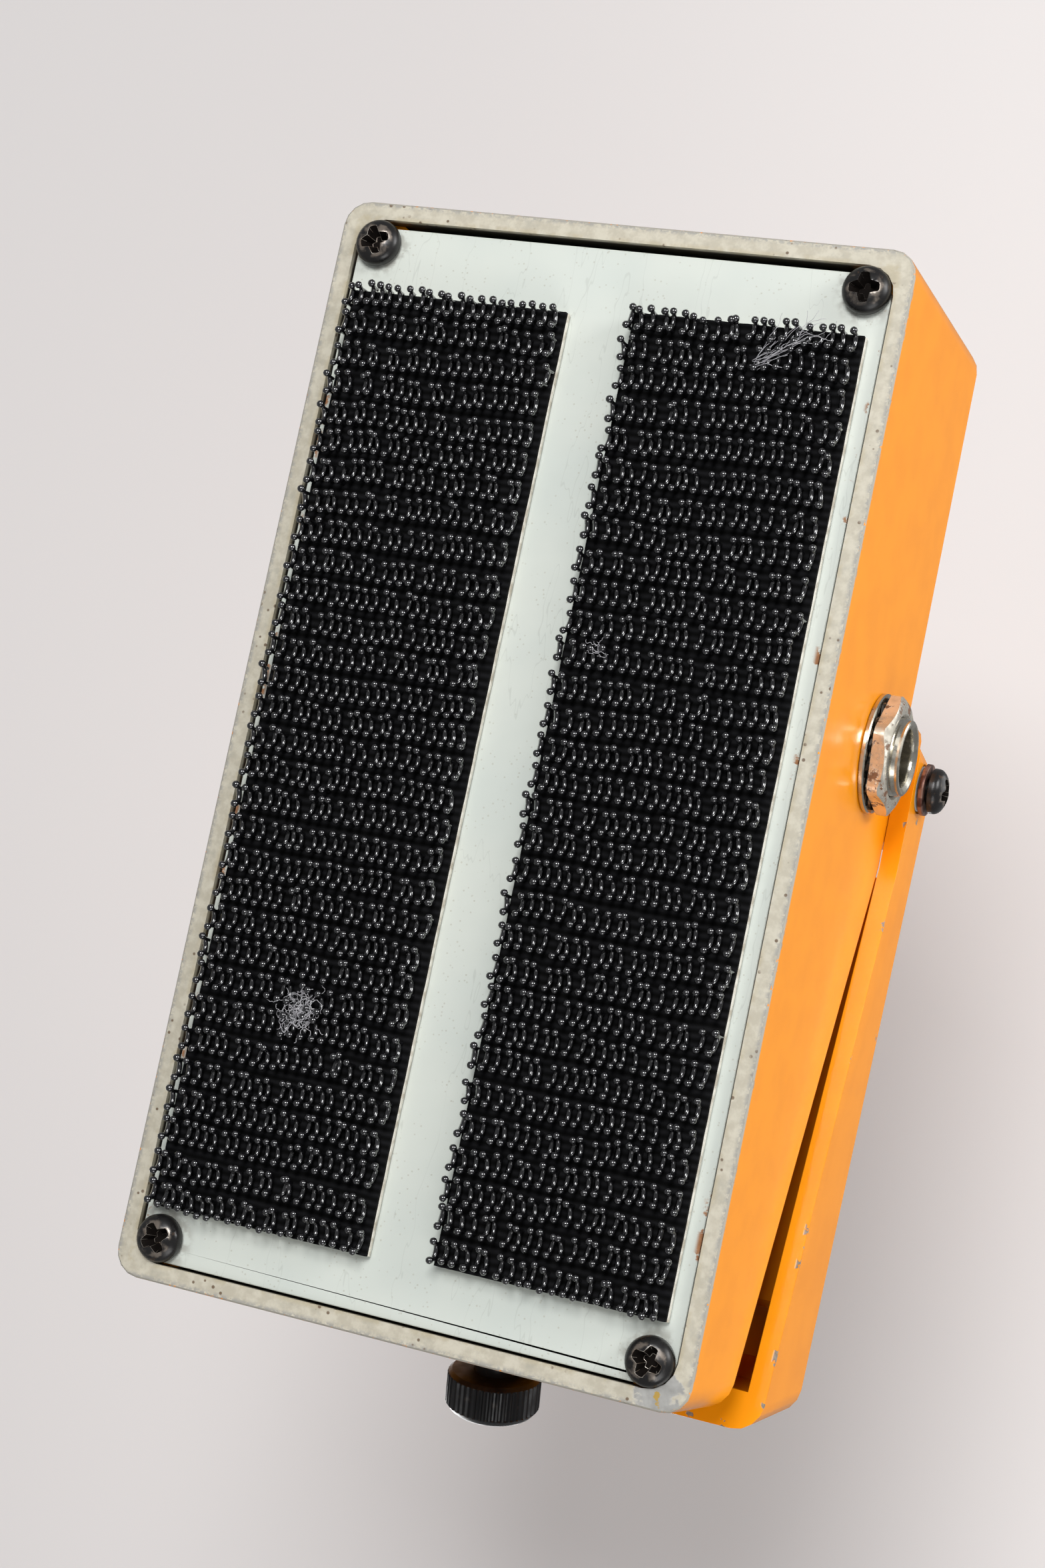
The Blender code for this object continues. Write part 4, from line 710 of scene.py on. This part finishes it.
def loop_rows():
    """Geometry Nodes: loops in rows across the tape, wavy along it, each a little turned and shifted."""
    tree, given, add = planting_tree("fastener_loops", (
        ("Loop", "Object"), ("Columns", "Int"), ("Rows", "Int"), ("Pitch across", "Float"),
        ("Pitch along", "Float"), ("Centre", "Vector"), ("Wave", "Float"), ("Seed", "Int"),
        ("Plastic", "Material")))

    def maths(operation, first, second):
        return add("ShaderNodeMath", {"operation": operation}, s0=first, s1=second).outputs[0]

    def shifted(first, second):
        return add("ShaderNodeVectorMath", {"operation": "ADD"}, s0=first, s1=second).outputs[0]

    def scattered(lowest, highest):
        return add("FunctionNodeRandomValue", {"data_type": "FLOAT_VECTOR"}, s0=lowest, s1=highest,
                   Seed=given["Seed"]).outputs[0]

    grid = add("GeometryNodeMeshGrid", Vertices_X=given["Columns"], Vertices_Y=given["Rows"],
               Size_X=maths("MULTIPLY", maths("SUBTRACT", given["Columns"], 1.0), given["Pitch across"]),
               Size_Y=maths("MULTIPLY", maths("SUBTRACT", given["Rows"], 1.0), given["Pitch along"]))
    ripple = add("ShaderNodeTexNoise", {"noise_dimensions": "4D"}, W=given["Seed"], Scale=85.0, Detail=1.0)
    lift = maths("MULTIPLY", maths("SUBTRACT", ripple.outputs["Fac"], 0.5), given["Wave"])
    wavy = add("ShaderNodeCombineXYZ", Y=lift).outputs[0]
    jitter = scattered((-0.00011, -0.00016, 0.0), (0.00011, 0.00016, 0.00014))
    placed = add("GeometryNodeSetPosition", Geometry=grid.outputs["Mesh"],
                 Offset=shifted(shifted(wavy, jitter), given["Centre"]))
    turn = scattered((-0.07, -0.12, -0.2), (0.07, 0.12, 0.2))
    size = add("FunctionNodeRandomValue", {"data_type": "FLOAT"}, s2=0.94, s3=1.04, Seed=given["Seed"])
    loop = add("GeometryNodeObjectInfo", Object=given["Loop"])
    spread = add("GeometryNodeInstanceOnPoints", Points=placed.outputs[0], Instance=loop.outputs["Geometry"],
                 Rotation=turn, Scale=size.outputs[1])
    solid = add("GeometryNodeRealizeInstances", Geometry=spread.outputs[0])
    finished = add("GeometryNodeSetMaterial", Geometry=solid.outputs[0], Material=given["Plastic"])
    tree.links.new(finished.outputs[0], tree.nodes.new("NodeGroupOutput").inputs[0])
    return tree


def planted(name, tree, values, body):
    """A piece that a Geometry Nodes tree makes from its named inputs."""
    made = bpy.data.objects.new(name, bpy.data.meshes.new(name))
    bpy.context.collection.objects.link(made)
    modifier = made.modifiers.new("planting", "NODES")
    modifier.node_group = tree
    for item in tree.interface.items_tree:
        if item.item_type == "SOCKET" and item.in_out == "INPUT":
            modifier[item.identifier] = values[item.name]
    as_mesh(made)
    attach(made, body)


loop_mesh = bpy.data.meshes.new("filament_loop")
loop_shape = filament_loop()
loop_shape.to_mesh(loop_mesh)
loop_shape.free()
loop_mesh.shade_smooth()
loop_source = bpy.data.objects.new("filament_loop", loop_mesh)
bpy.context.collection.objects.link(loop_source)
loops_tree = loop_rows()
for number in (1, 2):
    low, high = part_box(f"fastener_strip_{number}")
    middle = (low + high) / 2
    rows = round((high.y - low.y - LOOP_SPAN) / PITCH_ALONG) + 1
    planted(f"fastener_loops_{number}", loops_tree, {
        "Loop": loop_source, "Columns": round((high.x - low.x - 1.2 * MM) / PITCH_ACROSS) + 1, "Rows": rows,
        "Pitch across": PITCH_ACROSS, "Pitch along": (high.y - low.y - LOOP_SPAN - 0.7 * MM) / (rows - 1),
        "Wave": 2.4 * MM, "Seed": 7 + 5 * number, "Plastic": filament_plastic.material,
        "Centre": (middle.x + 0.35 * MM, middle.y + 0.3 * MM - LOOP_SPAN / 2, 0.0)}, "base")
    strip_rng = random.Random(40 + number)
    tape_top = high.z - ADHESIVE_DEPTH
    for layer, z_near, z_far, coat, cut_edge, far_edge in (
            ("tape", tape_top - TAPE_DEPTH, tape_top, tape_weave, 0.25 * MM, 0.25 * MM),
            ("adhesive", tape_top, high.z, adhesive, 0.12 * MM, 0.8 * MM)):
        shape = bmesh.new()
        outline = []
        corners = [(low.x + cut_edge, low.y + 0.1 * MM), (high.x - far_edge, low.y + 0.1 * MM),
                   (high.x - far_edge, high.y - 0.2 * MM), (low.x + cut_edge, high.y - 0.2 * MM)]
        for start, end in zip(corners, corners[1:] + corners[:1]):
            for k in range(EDGE_POINTS):
                wobble = 0.05 * MM * (strip_rng.random() - 0.5)
                outline.append((start[0] + (end[0] - start[0]) * k / EDGE_POINTS + wobble,
                                start[1] + (end[1] - start[1]) * k / EDGE_POINTS + wobble))
        skin(shape, [[shape.verts.new((x, y, z)) for x, y in outline] for z in (z_near, z_far)])
        bmesh.ops.recalc_face_normals(shape, faces=shape.faces)
        settle(f"fastener_{layer}_{number}", shape, coat, "base", f"fastener_strip_{number}",
               slot="black_fastener")
bpy.data.objects.remove(loop_source, do_unlink=True)

# ---- Lint ----
# Pale lint is caught on the fasteners' heads: a crumpled tuft near the thumbscrew's end of one strip,
# feathery fibres near the knob end of the other, and a small speck half-way along it.
FIBRE_RADIUS = 0.03 * MM
FIBRE_POINTS = 13
pale_lint = mottled("pale_lint", (0.4, 0.38, 0.42), (0.62, 0.62, 0.63), 0.7, patches=(500.0, 3.0),
                    grain=(1500.0, 3.0, 0.01))


def add_fibre(shape, rng, start, heading, length, curl):
    """A thin three-sided thread that wanders from a start point, always just above the floor."""
    points, place, angle = [], Vector(start), heading
    last = FIBRE_POINTS - 1
    for _ in range(FIBRE_POINTS):
        points.append(place.copy())
        angle += rng.uniform(-curl, curl)
        place = place + length / last * Vector((math.cos(angle), math.sin(angle), rng.uniform(-0.35, 0.35)))
        place.z = min(max(place.z, 0.08 * MM), 1.0 * MM)
    rings = []
    for index, centre in enumerate(points):
        run = (points[min(index + 1, last)] - points[max(index - 1, 0)]).normalized()
        side = run.cross(Vector((0, 0, 1))).normalized()
        over = run.cross(side)
        rings.append([shape.verts.new(centre + FIBRE_RADIUS * (side * math.cos(a) + over * math.sin(a)))
                      for a in (0.0, 2.094, 4.189)])
    skin(shape, rings)


lint_rng = random.Random(11)
for lint_name, strip_number, along_x, along_y, fibres, reach, spread, curl, facing_angle in (
        ("lint_tuft", 1, 0.1, -29.1, 90, 2.8, 0.9, 1.1, None),
        ("lint_feather", 2, -2.4, 48.6, 16, 6.5, 0.4, 0.22, 2.5),
        ("lint_feather_tip", 2, -6.6, 51.6, 10, 4.0, 0.6, 0.3, 2.6),
        ("lint_speck", 2, 8.8, 15.0, 14, 1.6, 0.5, 0.9, None)):
    low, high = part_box(f"fastener_strip_{strip_number}")
    middle = (low + high) / 2
    shape = bmesh.new()
    for _ in range(fibres):
        start = Vector((middle.x + (along_x + lint_rng.gauss(0, spread)) * MM,
                        middle.y + (along_y + lint_rng.gauss(0, spread)) * MM,
                        lint_rng.uniform(0.1, 0.7) * MM))
        if facing_angle is None:
            heading = lint_rng.uniform(0, 6.28)
        else:
            heading = facing_angle + lint_rng.gauss(0, 0.35)
        add_fibre(shape, lint_rng, start, heading, reach * MM * lint_rng.uniform(0.5, 1.1), curl)
    bmesh.ops.recalc_face_normals(shape, faces=shape.faces)
    settle(lint_name, shape, pale_lint, "base", sharp=180.0)

# ---- Jacks ----
# A 6.35 mm jack in each side: a threaded nickel bush through the wall, a flat washer, a dark toothed
# lock washer and a chamfered hexagon nut whose plating is speckled with rust.
BUSH_RADIUS = 4.5 * MM
BORE_RADIUS = 3.25 * MM
WASHER_HOLE = BUSH_RADIUS + 0.1 * MM
SEATING = 0.26 * MM
NUT_FLATS = 12.3 * MM
NUT_CORNERS = 13.7 * MM
TEETH = 14


def plated(name, rust_amount):
    """Worn nickel plating, clouded and speckled with brown rust."""
    coat = Finish(name, (0.56, 0.52, 0.44), 0.26, 1.0)
    cloud = coat.noise(380.0, 4.0, 0.6)
    tone = coat.blend(coat.step(cloud, 0.35, 0.65), (0.72, 0.68, 0.59), (0.46, 0.43, 0.36))
    spots = coat.step(coat.noise(560.0, 6.0, 0.75), 0.66 - rust_amount, 0.69 - rust_amount)
    brown = coat.blend(coat.noise(2400.0, 3.0), (0.07, 0.028, 0.012), (0.25, 0.12, 0.055))
    dull = coat.either(spots, coat.step(cloud, 0.4, 0.8))
    coat.set("Base Color", coat.blend(spots, tone, brown))
    coat.set("Metallic", coat.step(spots, 0.0, 1.0, 1.0 - 2.5 * rust_amount, 0.1))
    coat.set("Roughness", coat.step(dull, 0.0, 1.0, 0.2, 0.6))
    coat.relief(coat.calc("ADD", coat.noise(1500.0, 3.0), coat.both(spots, 2.0)), 0.008 * MM)
    return coat


nickel = plated("nickel_plate", 0.0)
rusted_nickel = plated("rusted_nickel_plate", 0.12)
toothed_steel = mottled("dark_toothed_steel", (0.03, 0.028, 0.026), (0.22, 0.17, 0.12), 0.45, 0.9,
                        patches=(1300.0, 4.0, 0.5, 0.66), grain=(1500.0, 3.0, 0.02))


def star_washer(start, aim, outer, thickness):
    """A lock washer with teeth round its rim, each twisted a little out of flat."""
    shape = bmesh.new()
    sides = TEETH * 4
    rims = []
    for side in (-0.5, 0.5):
        rim = []
        for k in range(sides):
            angle = 2 * math.pi * k / sides
            is_tooth = k % 4 in (1, 2)
            reach = outer if is_tooth else outer - 0.75 * MM
            twist = (0.06 * MM if k % 4 == 1 else -0.06 * MM) if is_tooth else 0.0
            rim.append(shape.verts.new((reach * math.cos(angle), reach * math.sin(angle),
                                        side * thickness * 0.8 + twist)))
        rims.append((around(shape, WASHER_HOLE, side * thickness, sides), rim))
    (low_hole, low_rim), (high_hole, high_rim) = rims
    skin(shape, [low_hole, low_rim, high_rim, high_hole], closed=True)
    return stand(shape, start, aim)


def hexagon_nut(start, aim, spin, flats, corners, hole, thickness):
    """A hexagon nut, chamfered on its outer face and round its threaded hole."""
    sides = 96
    shape = bmesh.new()

    def hexagon(radius, height):
        """A hexagon whose corners are cut round at a radius, and which slopes away outside its flats."""
        made = []
        for k in range(sides):
            angle = 2 * math.pi * k / sides
            flat = flats / 2 / math.cos((angle + math.pi / 6) % (math.pi / 3) - math.pi / 6)
            reach = min(flat, radius)
            drop = max(0.0, reach - flats / 2 * 0.96) * 0.6 if height > thickness / 2 else 0.0
            made.append(shape.verts.new((reach * math.cos(angle), reach * math.sin(angle), height - drop)))
        return made

    skin(shape, [around(shape, hole, 0.3 * MM, sides), around(shape, hole + 0.3 * MM, 0.0, sides),
                 hexagon(corners / 2, 0.0), hexagon(corners / 2, thickness),
                 hexagon(flats / 2 * 0.94, thickness), around(shape, hole + 0.35 * MM, thickness, sides),
                 around(shape, hole, thickness - 0.35 * MM, sides)], closed=True)
    return stand(shape, start, aim, spin)


for jack_name, side, nut_spin in (("input", 1, 0.1), ("output", -1, 0.8)):
    aim = Vector((side, 0, 0))
    low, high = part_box(f"{jack_name}_jack")
    nut_low, nut_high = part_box(f"{jack_name}_jack_nut")
    axis_point = (nut_low + nut_high) / 2
    mouth = max(abs(low.x), abs(high.x))
    nut_near, nut_far = sorted((abs(nut_low.x), abs(nut_high.x)))

    def at(distance):
        return Vector((side * distance, axis_point.y, axis_point.z))

    profile = [(BORE_RADIUS, -15 * MM), (BUSH_RADIUS, -15 * MM), (BUSH_RADIUS, half_width - mouth)]
    thread = nut_near - mouth
    while thread < -0.75 * MM:
        profile += [(BUSH_RADIUS - 0.26 * MM, thread + 0.12 * MM), (BUSH_RADIUS, thread + 0.3 * MM)]
        thread += 0.5 * MM
    profile += [(BUSH_RADIUS - 0.2 * MM, -0.42 * MM), (BUSH_RADIUS - 0.18 * MM, -0.16 * MM),
                (BUSH_RADIUS - 0.4 * MM, 0.0), (BORE_RADIUS + 0.55 * MM, 0.0),
                (BORE_RADIUS + 0.12 * MM, -0.35 * MM), (BORE_RADIUS, -0.8 * MM)]
    settle(f"{jack_name}_bush", lathe(profile, at(mouth), aim, 64, closed=True), nickel, "base",
           f"{jack_name}_jack", sharp=30.0, slot="nickel")
    shape = merged(f"{jack_name}_jack")
    outside_wall = [vert for vert in shape.verts if abs(vert.co.x) > half_width - 2.0 * MM]
    bmesh.ops.delete(shape, geom=outside_wall, context="VERTS")
    bmesh.ops.holes_fill(shape, edges=[edge for edge in shape.edges if edge.is_boundary], sides=60)
    bmesh.ops.recalc_face_normals(shape, faces=shape.faces)
    settle(f"{jack_name}_jack_frame", shape, nickel, "base", f"{jack_name}_jack")
    node = f"{jack_name}_jack_washer"
    low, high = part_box(node)
    outer, thick = (high.y - low.y) / 2, high.x - low.x + SEATING / 2
    flat = [(WASHER_HOLE, 0.0), (outer - 0.1 * MM, 0.0), (outer, 0.12 * MM), (outer, thick - 0.15 * MM),
            (outer - 0.15 * MM, thick), (WASHER_HOLE, thick)]
    start = at(min(abs(low.x), abs(high.x)) - SEATING)
    settle(f"{jack_name}_flat_washer", lathe(flat, start, aim, 72, closed=True), nickel, "base", node)
    node = f"{jack_name}_jack_lock_washer"
    low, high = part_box(node)
    start = at((abs(low.x) + abs(high.x)) / 2 - 1.5 * SEATING)
    settle(f"{jack_name}_toothed_washer", star_washer(start, aim, (high.y - low.y) / 2 + 0.2 * MM, 0.34 * MM),
           toothed_steel, "base", node)
    nut_shape = hexagon_nut(at(nut_near - 2.7 * SEATING), aim, nut_spin, NUT_FLATS, NUT_CORNERS,
                            BUSH_RADIUS + 0.05 * MM, nut_far - nut_near + 1.3 * SEATING)
    settle(f"{jack_name}_nut", nut_shape, rusted_nickel, "base", f"{jack_name}_jack_nut", sharp=28.0,
           slot="nickel")

# ---- Thumbscrew ----
# A black knurled screw through the treadle's lip.  Straight knurls run along its head between two
# plain chamfers; a nylon collar on its shank keeps it in the lip.
KNURLS = 44
KNURL_DEPTH = 0.22
black_knurl = mottled("black_knurled_steel", (0.008, 0.008, 0.009), (0.03, 0.027, 0.024), 0.38, 0.2,
                      patches=(900.0, 4.0, 0.6, 0.7), gloss=(600.0, 3.0, 0.3, 0.5),
                      grain=(1400.0, 3.0, 0.012), Specular_IOR_Level=0.4)


def knurled_head():
    """Rings of shank and head; between the chamfers every other pair of points steps in for the knurls."""
    shape = bmesh.new()
    sides = KNURLS * 4
    stations = [(-13.5, 1.5, 0), (-13.2, 1.8, 0), (-5.3, 1.8, 0), (-5.1, 2.55, 0), (0.85, 2.55, 0),
                (0.9, 4.6, 0), (0.95, 5.0, 0), (1.35, 5.42, 0), (1.5, 5.5, 1), (4.9, 5.5, 1), (5.05, 5.4, 0),
                (5.6, 4.95, 0), (5.85, 4.6, 0), (5.88, 4.3, 0), (5.72, 3.9, 0), (5.7, 0.6, 0)]
    rings = []
    for along, radius, knurled in stations:
        ring = []
        for k in range(sides):
            angle = 2 * math.pi * k / sides
            reach = (radius - (KNURL_DEPTH if knurled and k % 4 in (0, 1) else 0.0)) * MM
            ring.append(shape.verts.new((reach * math.cos(angle), reach * math.sin(angle), along * MM)))
        rings.append(ring)
    skin(shape, rings)
    turning = joints["thumbscrew_turn"]
    return stand(shape, turning["pos_m"], Vector(turning["axis"]).normalized())


settle("knurled_thumbscrew", knurled_head(), black_knurl, "thumb_turn", "thumbscrew", sharp=30.0,
       slot="black_steel")
rounded("thumbscrew_collar", "thumbscrew_nylon_collar", nylon, "thumb_collar", 0.1)

# ---- Treadle pad ----
# A black rubber mat let into the treadle's top, with a plain border and low ribs across it for grip.
PAD_SLOPE = 0.075
RIB_PITCH = 2.6 * MM
rubber = mottled("black_rubber_mat", (0.018, 0.018, 0.019), (0.045, 0.043, 0.041), 0.7,
                 patches=(120.0, 4.0, 0.45, 0.7), gloss=(300.0, 3.0, 0.6, 0.82),
                 grain=(2600.0, 2.0, 0.03), Specular_IOR_Level=0.35)
pad_shape = merged("treadle_pad")
soften(pad_shape, lambda at: True, 0.35 * MM, 3)
settle("treadle_mat", pad_shape, rubber, "treadle", "treadle_pad", slot="black_rubber")
pad_low, pad_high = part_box("treadle_pad")


def rib_rows():
    """Geometry Nodes: one round-ended rib repeated up the mat's slope."""
    tree, given, add = planting_tree("mat_ribs", (
        ("Count", "Int"), ("Start", "Vector"), ("Step", "Vector"), ("Length", "Float"), ("Radius", "Float"),
        ("Rubber", "Material")))
    line = add("GeometryNodeMeshLine", {"mode": "OFFSET"}, Count=given["Count"],
               Start_Location=given["Start"], Offset=given["Step"])
    rib = add("GeometryNodeMeshCylinder", Vertices=16, Depth=given["Length"], Radius=given["Radius"])
    spread = add("GeometryNodeInstanceOnPoints", Points=line.outputs[0], Instance=rib.outputs["Mesh"],
                 Rotation=(0.0, math.pi / 2, 0.0))
    solid = add("GeometryNodeRealizeInstances", Geometry=spread.outputs[0])
    smooth = add("GeometryNodeSetShadeSmooth", s0=solid.outputs[0])
    finished = add("GeometryNodeSetMaterial", Geometry=smooth.outputs[0], Material=given["Rubber"])
    tree.links.new(finished.outputs[0], tree.nodes.new("NodeGroupOutput").inputs[0])
    return tree


rib_count = int((pad_high.y - pad_low.y - 6 * MM) / RIB_PITCH) + 1
first_rib_y = (pad_low.y + pad_high.y) / 2 - RIB_PITCH * (rib_count - 1) / 2
first_rib_z = pad_high.z - PAD_SLOPE * (pad_high.y - first_rib_y) - 0.25 * MM
planted("treadle_mat_ribs", rib_rows(), {
    "Count": rib_count, "Start": (0.0, first_rib_y, first_rib_z),
    "Step": (0.0, RIB_PITCH, RIB_PITCH * PAD_SLOPE), "Length": pad_high.x - pad_low.x - 7 * MM,
    "Radius": 0.55 * MM, "Rubber": rubber.material},
    "treadle")

# ---- Knobs ----
# Three black moulded knobs with a flared skirt, grip flutes and a white pointer let into one side and
# the top, each pressed on a nickel shaft that stands in a nut on the panel.
FLUTES = 20
FLUTE_DEPTH = 0.45 * MM
knob_plastic = mottled("black_moulded_plastic", (0.018, 0.018, 0.019), None, 0.3,
                       gloss=(500.0, 3.0, 0.24, 0.4), grain=(1500.0, 2.0, 0.01), Specular_IOR_Level=0.5)
pointer_white = mottled("pointer_white", (0.76, 0.74, 0.69), (0.87, 0.86, 0.83), 0.45,
                        patches=(900.0, 3.0), grain=(1500.0, 3.0, 0.01))


def fluted_knob(centre, skirt, foot_z, tall):
    """Skirt, fluted grip and dished top, from the foot up."""
    shape = bmesh.new()
    sides = FLUTES * 6
    stations = [(0.0, 0.56, 0), (0.0, 0.97, 0), (0.015, 1.0, 0), (0.115, 1.0, 0), (0.14, 0.965, 0),
                (0.155, 0.93, 0), (0.2, 0.925, 1), (0.9, 0.862, 1), (0.94, 0.855, 0), (0.975, 0.83, 0),
                (0.995, 0.77, 0), (1.0, 0.7, 0), (0.985, 0.64, 0), (0.985, 0.05, 0)]
    rings = []
    for up, reach, fluted in stations:
        ring = []
        for k in range(sides):
            angle = 2 * math.pi * k / sides
            groove = FLUTE_DEPTH * max(0.0, math.cos(angle * FLUTES)) if fluted else 0.0
            radius = skirt * reach - groove
            ring.append(shape.verts.new((centre.x + radius * math.sin(angle),
                                         centre.y - radius * math.cos(angle), foot_z + tall * up)))
        rings.append(ring)
    skin(shape, rings)
    bmesh.ops.recalc_face_normals(shape, faces=shape.faces)
    return shape


def pointer(centre, skirt, foot_z, tall):
    """A white bar let into the knob's top, and another down its front."""
    shape = bmesh.new()
    top = [(0.5, 0.0), (0.5, -0.6), (0.4, -0.66), (-0.4, -0.66), (-0.5, -0.6), (-0.5, 0.0)]
    skin(shape, [[shape.verts.new((centre.x + x * MM, centre.y + y * skirt, foot_z + tall + lift))
                  for x, y in top] for lift in (0.02 * MM, -0.4 * MM)])
    front = [(-0.5, 0.16, 0.99), (0.5, 0.16, 0.99), (0.5, 0.93, 0.885), (-0.5, 0.93, 0.885)]
    skin(shape, [[shape.verts.new((centre.x + x * MM, centre.y - skirt * out * share, foot_z + tall * up))
                  for x, up, out in front] for share in (0.962, 0.82)])
    bmesh.ops.recalc_face_normals(shape, faces=shape.faces)
    return shape


for number in (1, 2, 3):
    low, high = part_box(f"knob_{number}")
    sizes = ((low + high) / 2, (high.x - low.x) / 2, low.z, high.z - low.z)
    rides = f"control_{number}"
    settle(f"fluted_knob_{number}", fluted_knob(*sizes), knob_plastic, rides, f"knob_{number}", sharp=40.0,
           slot="black_plastic")
    settle(f"knob_pointer_{number}", pointer(*sizes), pointer_white, rides)
    rounded(f"pot_{number}", f"pot_{number}_metal", nickel, "base", 0.0)
    rounded(f"pot_shaft_{number}", f"pot_shaft_{number}_metal", nickel, rides, 0.0)
    low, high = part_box(f"pot_nut_{number}")
    middle = (low + high) / 2
    flats = high.y - low.y
    nut_shape = hexagon_nut((middle.x, middle.y, low.z), (0, 0, 1), 0.3 * number, flats,
                            flats / math.cos(math.pi / 6), 3.55 * MM, high.z - low.z)
    settle(f"panel_nut_{number}", nut_shape, nickel, "base", f"pot_nut_{number}", sharp=28.0)

# ---- Indicator lamp ----
# A 3 mm red lamp in a black bezel on the bridge between the treadle and the knobs.
lens = mottled("red_lamp_lens", (0.5, 0.008, 0.006), (0.62, 0.015, 0.01), 0.08, patches=(500.0, 3.0),
               Transmission_Weight=0.35, Coat_Weight=0.4)
rounded("indicator_lamp", "red_lamp", lens, "base", 0.0)
bezel_shape = merged("lamp_bezel")
soften(bezel_shape, lambda at: at.z > rim_z + 45 * MM, 0.15 * MM)
settle("lamp_bezel_ring", bezel_shape, knob_plastic, "base", "lamp_bezel")

# ---- Inside the treadle's bay ----
# The guide fork for the thumbscrew, the coil spring, the momentary switch with its plunger, the
# pusher above it and the two rubber stops.  The spring has its pressed length, so it stays clear of
# the treadle all the way down.
bright_steel = mottled("bright_spring_steel", (0.56, 0.56, 0.57), None, 0.28, 1.0,
                       gloss=(900.0, 3.0, 0.2, 0.42), grain=(1300.0, 3.0, 0.008))
housing = mottled("switch_housing", (0.03, 0.03, 0.032), None, 0.42, gloss=(700.0, 3.0, 0.34, 0.5),
                  grain=(1800.0, 3.0, 0.01))
for node, coat, rides, radius in (
        ("guide_fork", bright_steel, "base", 0.15), ("foot_switch", housing, "base", 0.3),
        ("switch_plunger", nylon, "plunger", 0.12), ("switch_pusher", rubber, "treadle", 0.3),
        ("rubber_stop_1", rubber, "base", 0.3), ("rubber_stop_2", rubber, "base", 0.3)):
    rounded(node, node + "_finished", coat, rides, radius)
hinge = joints["treadle_hinge"]
low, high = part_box("coil_spring")
stroke = math.radians(hinge["range_deg"][1]) * (hinge["pos_m"][1] - low.y)
pressed = 1.0 - stroke / (high.z - low.z)
spring_shape = merged("coil_spring")
for vert in spring_shape.verts:
    vert.co.z = low.z + (vert.co.z - low.z) * pressed
settle("coil_spring_wire", spring_shape, bright_steel, "base", "coil_spring", sharp=70.0, slot="spring_steel")

# ---- Power jack, board and battery ----
# A moulded DC jack in the rear wall, the main board on three posts over a fibre sheet, and a 9 V
# battery in its pocket with a snap connector, two leads and a strip of foam.
board_green = mottled("board_green", (0.03, 0.2, 0.08), (0.05, 0.27, 0.12), 0.4,
                      patches=(240.0, 3.0, 0.45, 0.55), grain=(800.0, 3.0, 0.01))
fibre = mottled("grey_fibre", (0.24, 0.24, 0.25), (0.36, 0.36, 0.37), 0.8, patches=(900.0, 4.0),
                grain=(1500.0, 3.0, 0.03))
red_lead = mottled("red_lead", (0.5, 0.018, 0.012), (0.6, 0.03, 0.02), 0.4, patches=(600.0, 3.0),
                   grain=(1200.0, 3.0, 0.01))
foam = Finish("grey_foam", (0.2, 0.2, 0.2), 0.95)
foam.set("Base Color", foam.blend(foam.specks(900.0, 0.3), (0.24, 0.24, 0.24), (0.1, 0.1, 0.1)))
foam.relief(foam.specks(900.0, 0.3), 0.2 * MM)
jacket = Finish("battery_jacket", (0.06, 0.08, 0.16), 0.3, 0.3)
band = jacket.step(jacket.axis("X"), -12.5 * MM, -12.2 * MM)
jacket.set("Base Color", jacket.blend(band, (0.05, 0.06, 0.1), (0.5, 0.42, 0.25)))
jacket.relief(jacket.noise(900.0), 0.006 * MM)
for node, coat, radius, sharp in (
        ("dc_jack", housing, 0.12, 35.0), ("main_board", board_green, 0.1, 35.0),
        ("insulating_sheet", fibre, 0.08, 35.0), ("battery", jacket, 0.2, 35.0),
        ("battery_snap", housing, 0.3, 35.0), ("battery_foam", foam, 0.3, 35.0),
        ("battery_lead_1", red_lead, 0.0, 70.0), ("battery_lead_2", housing, 0.0, 70.0)):
    rounded(node, node + "_finished", coat, "base", radius, sharp)
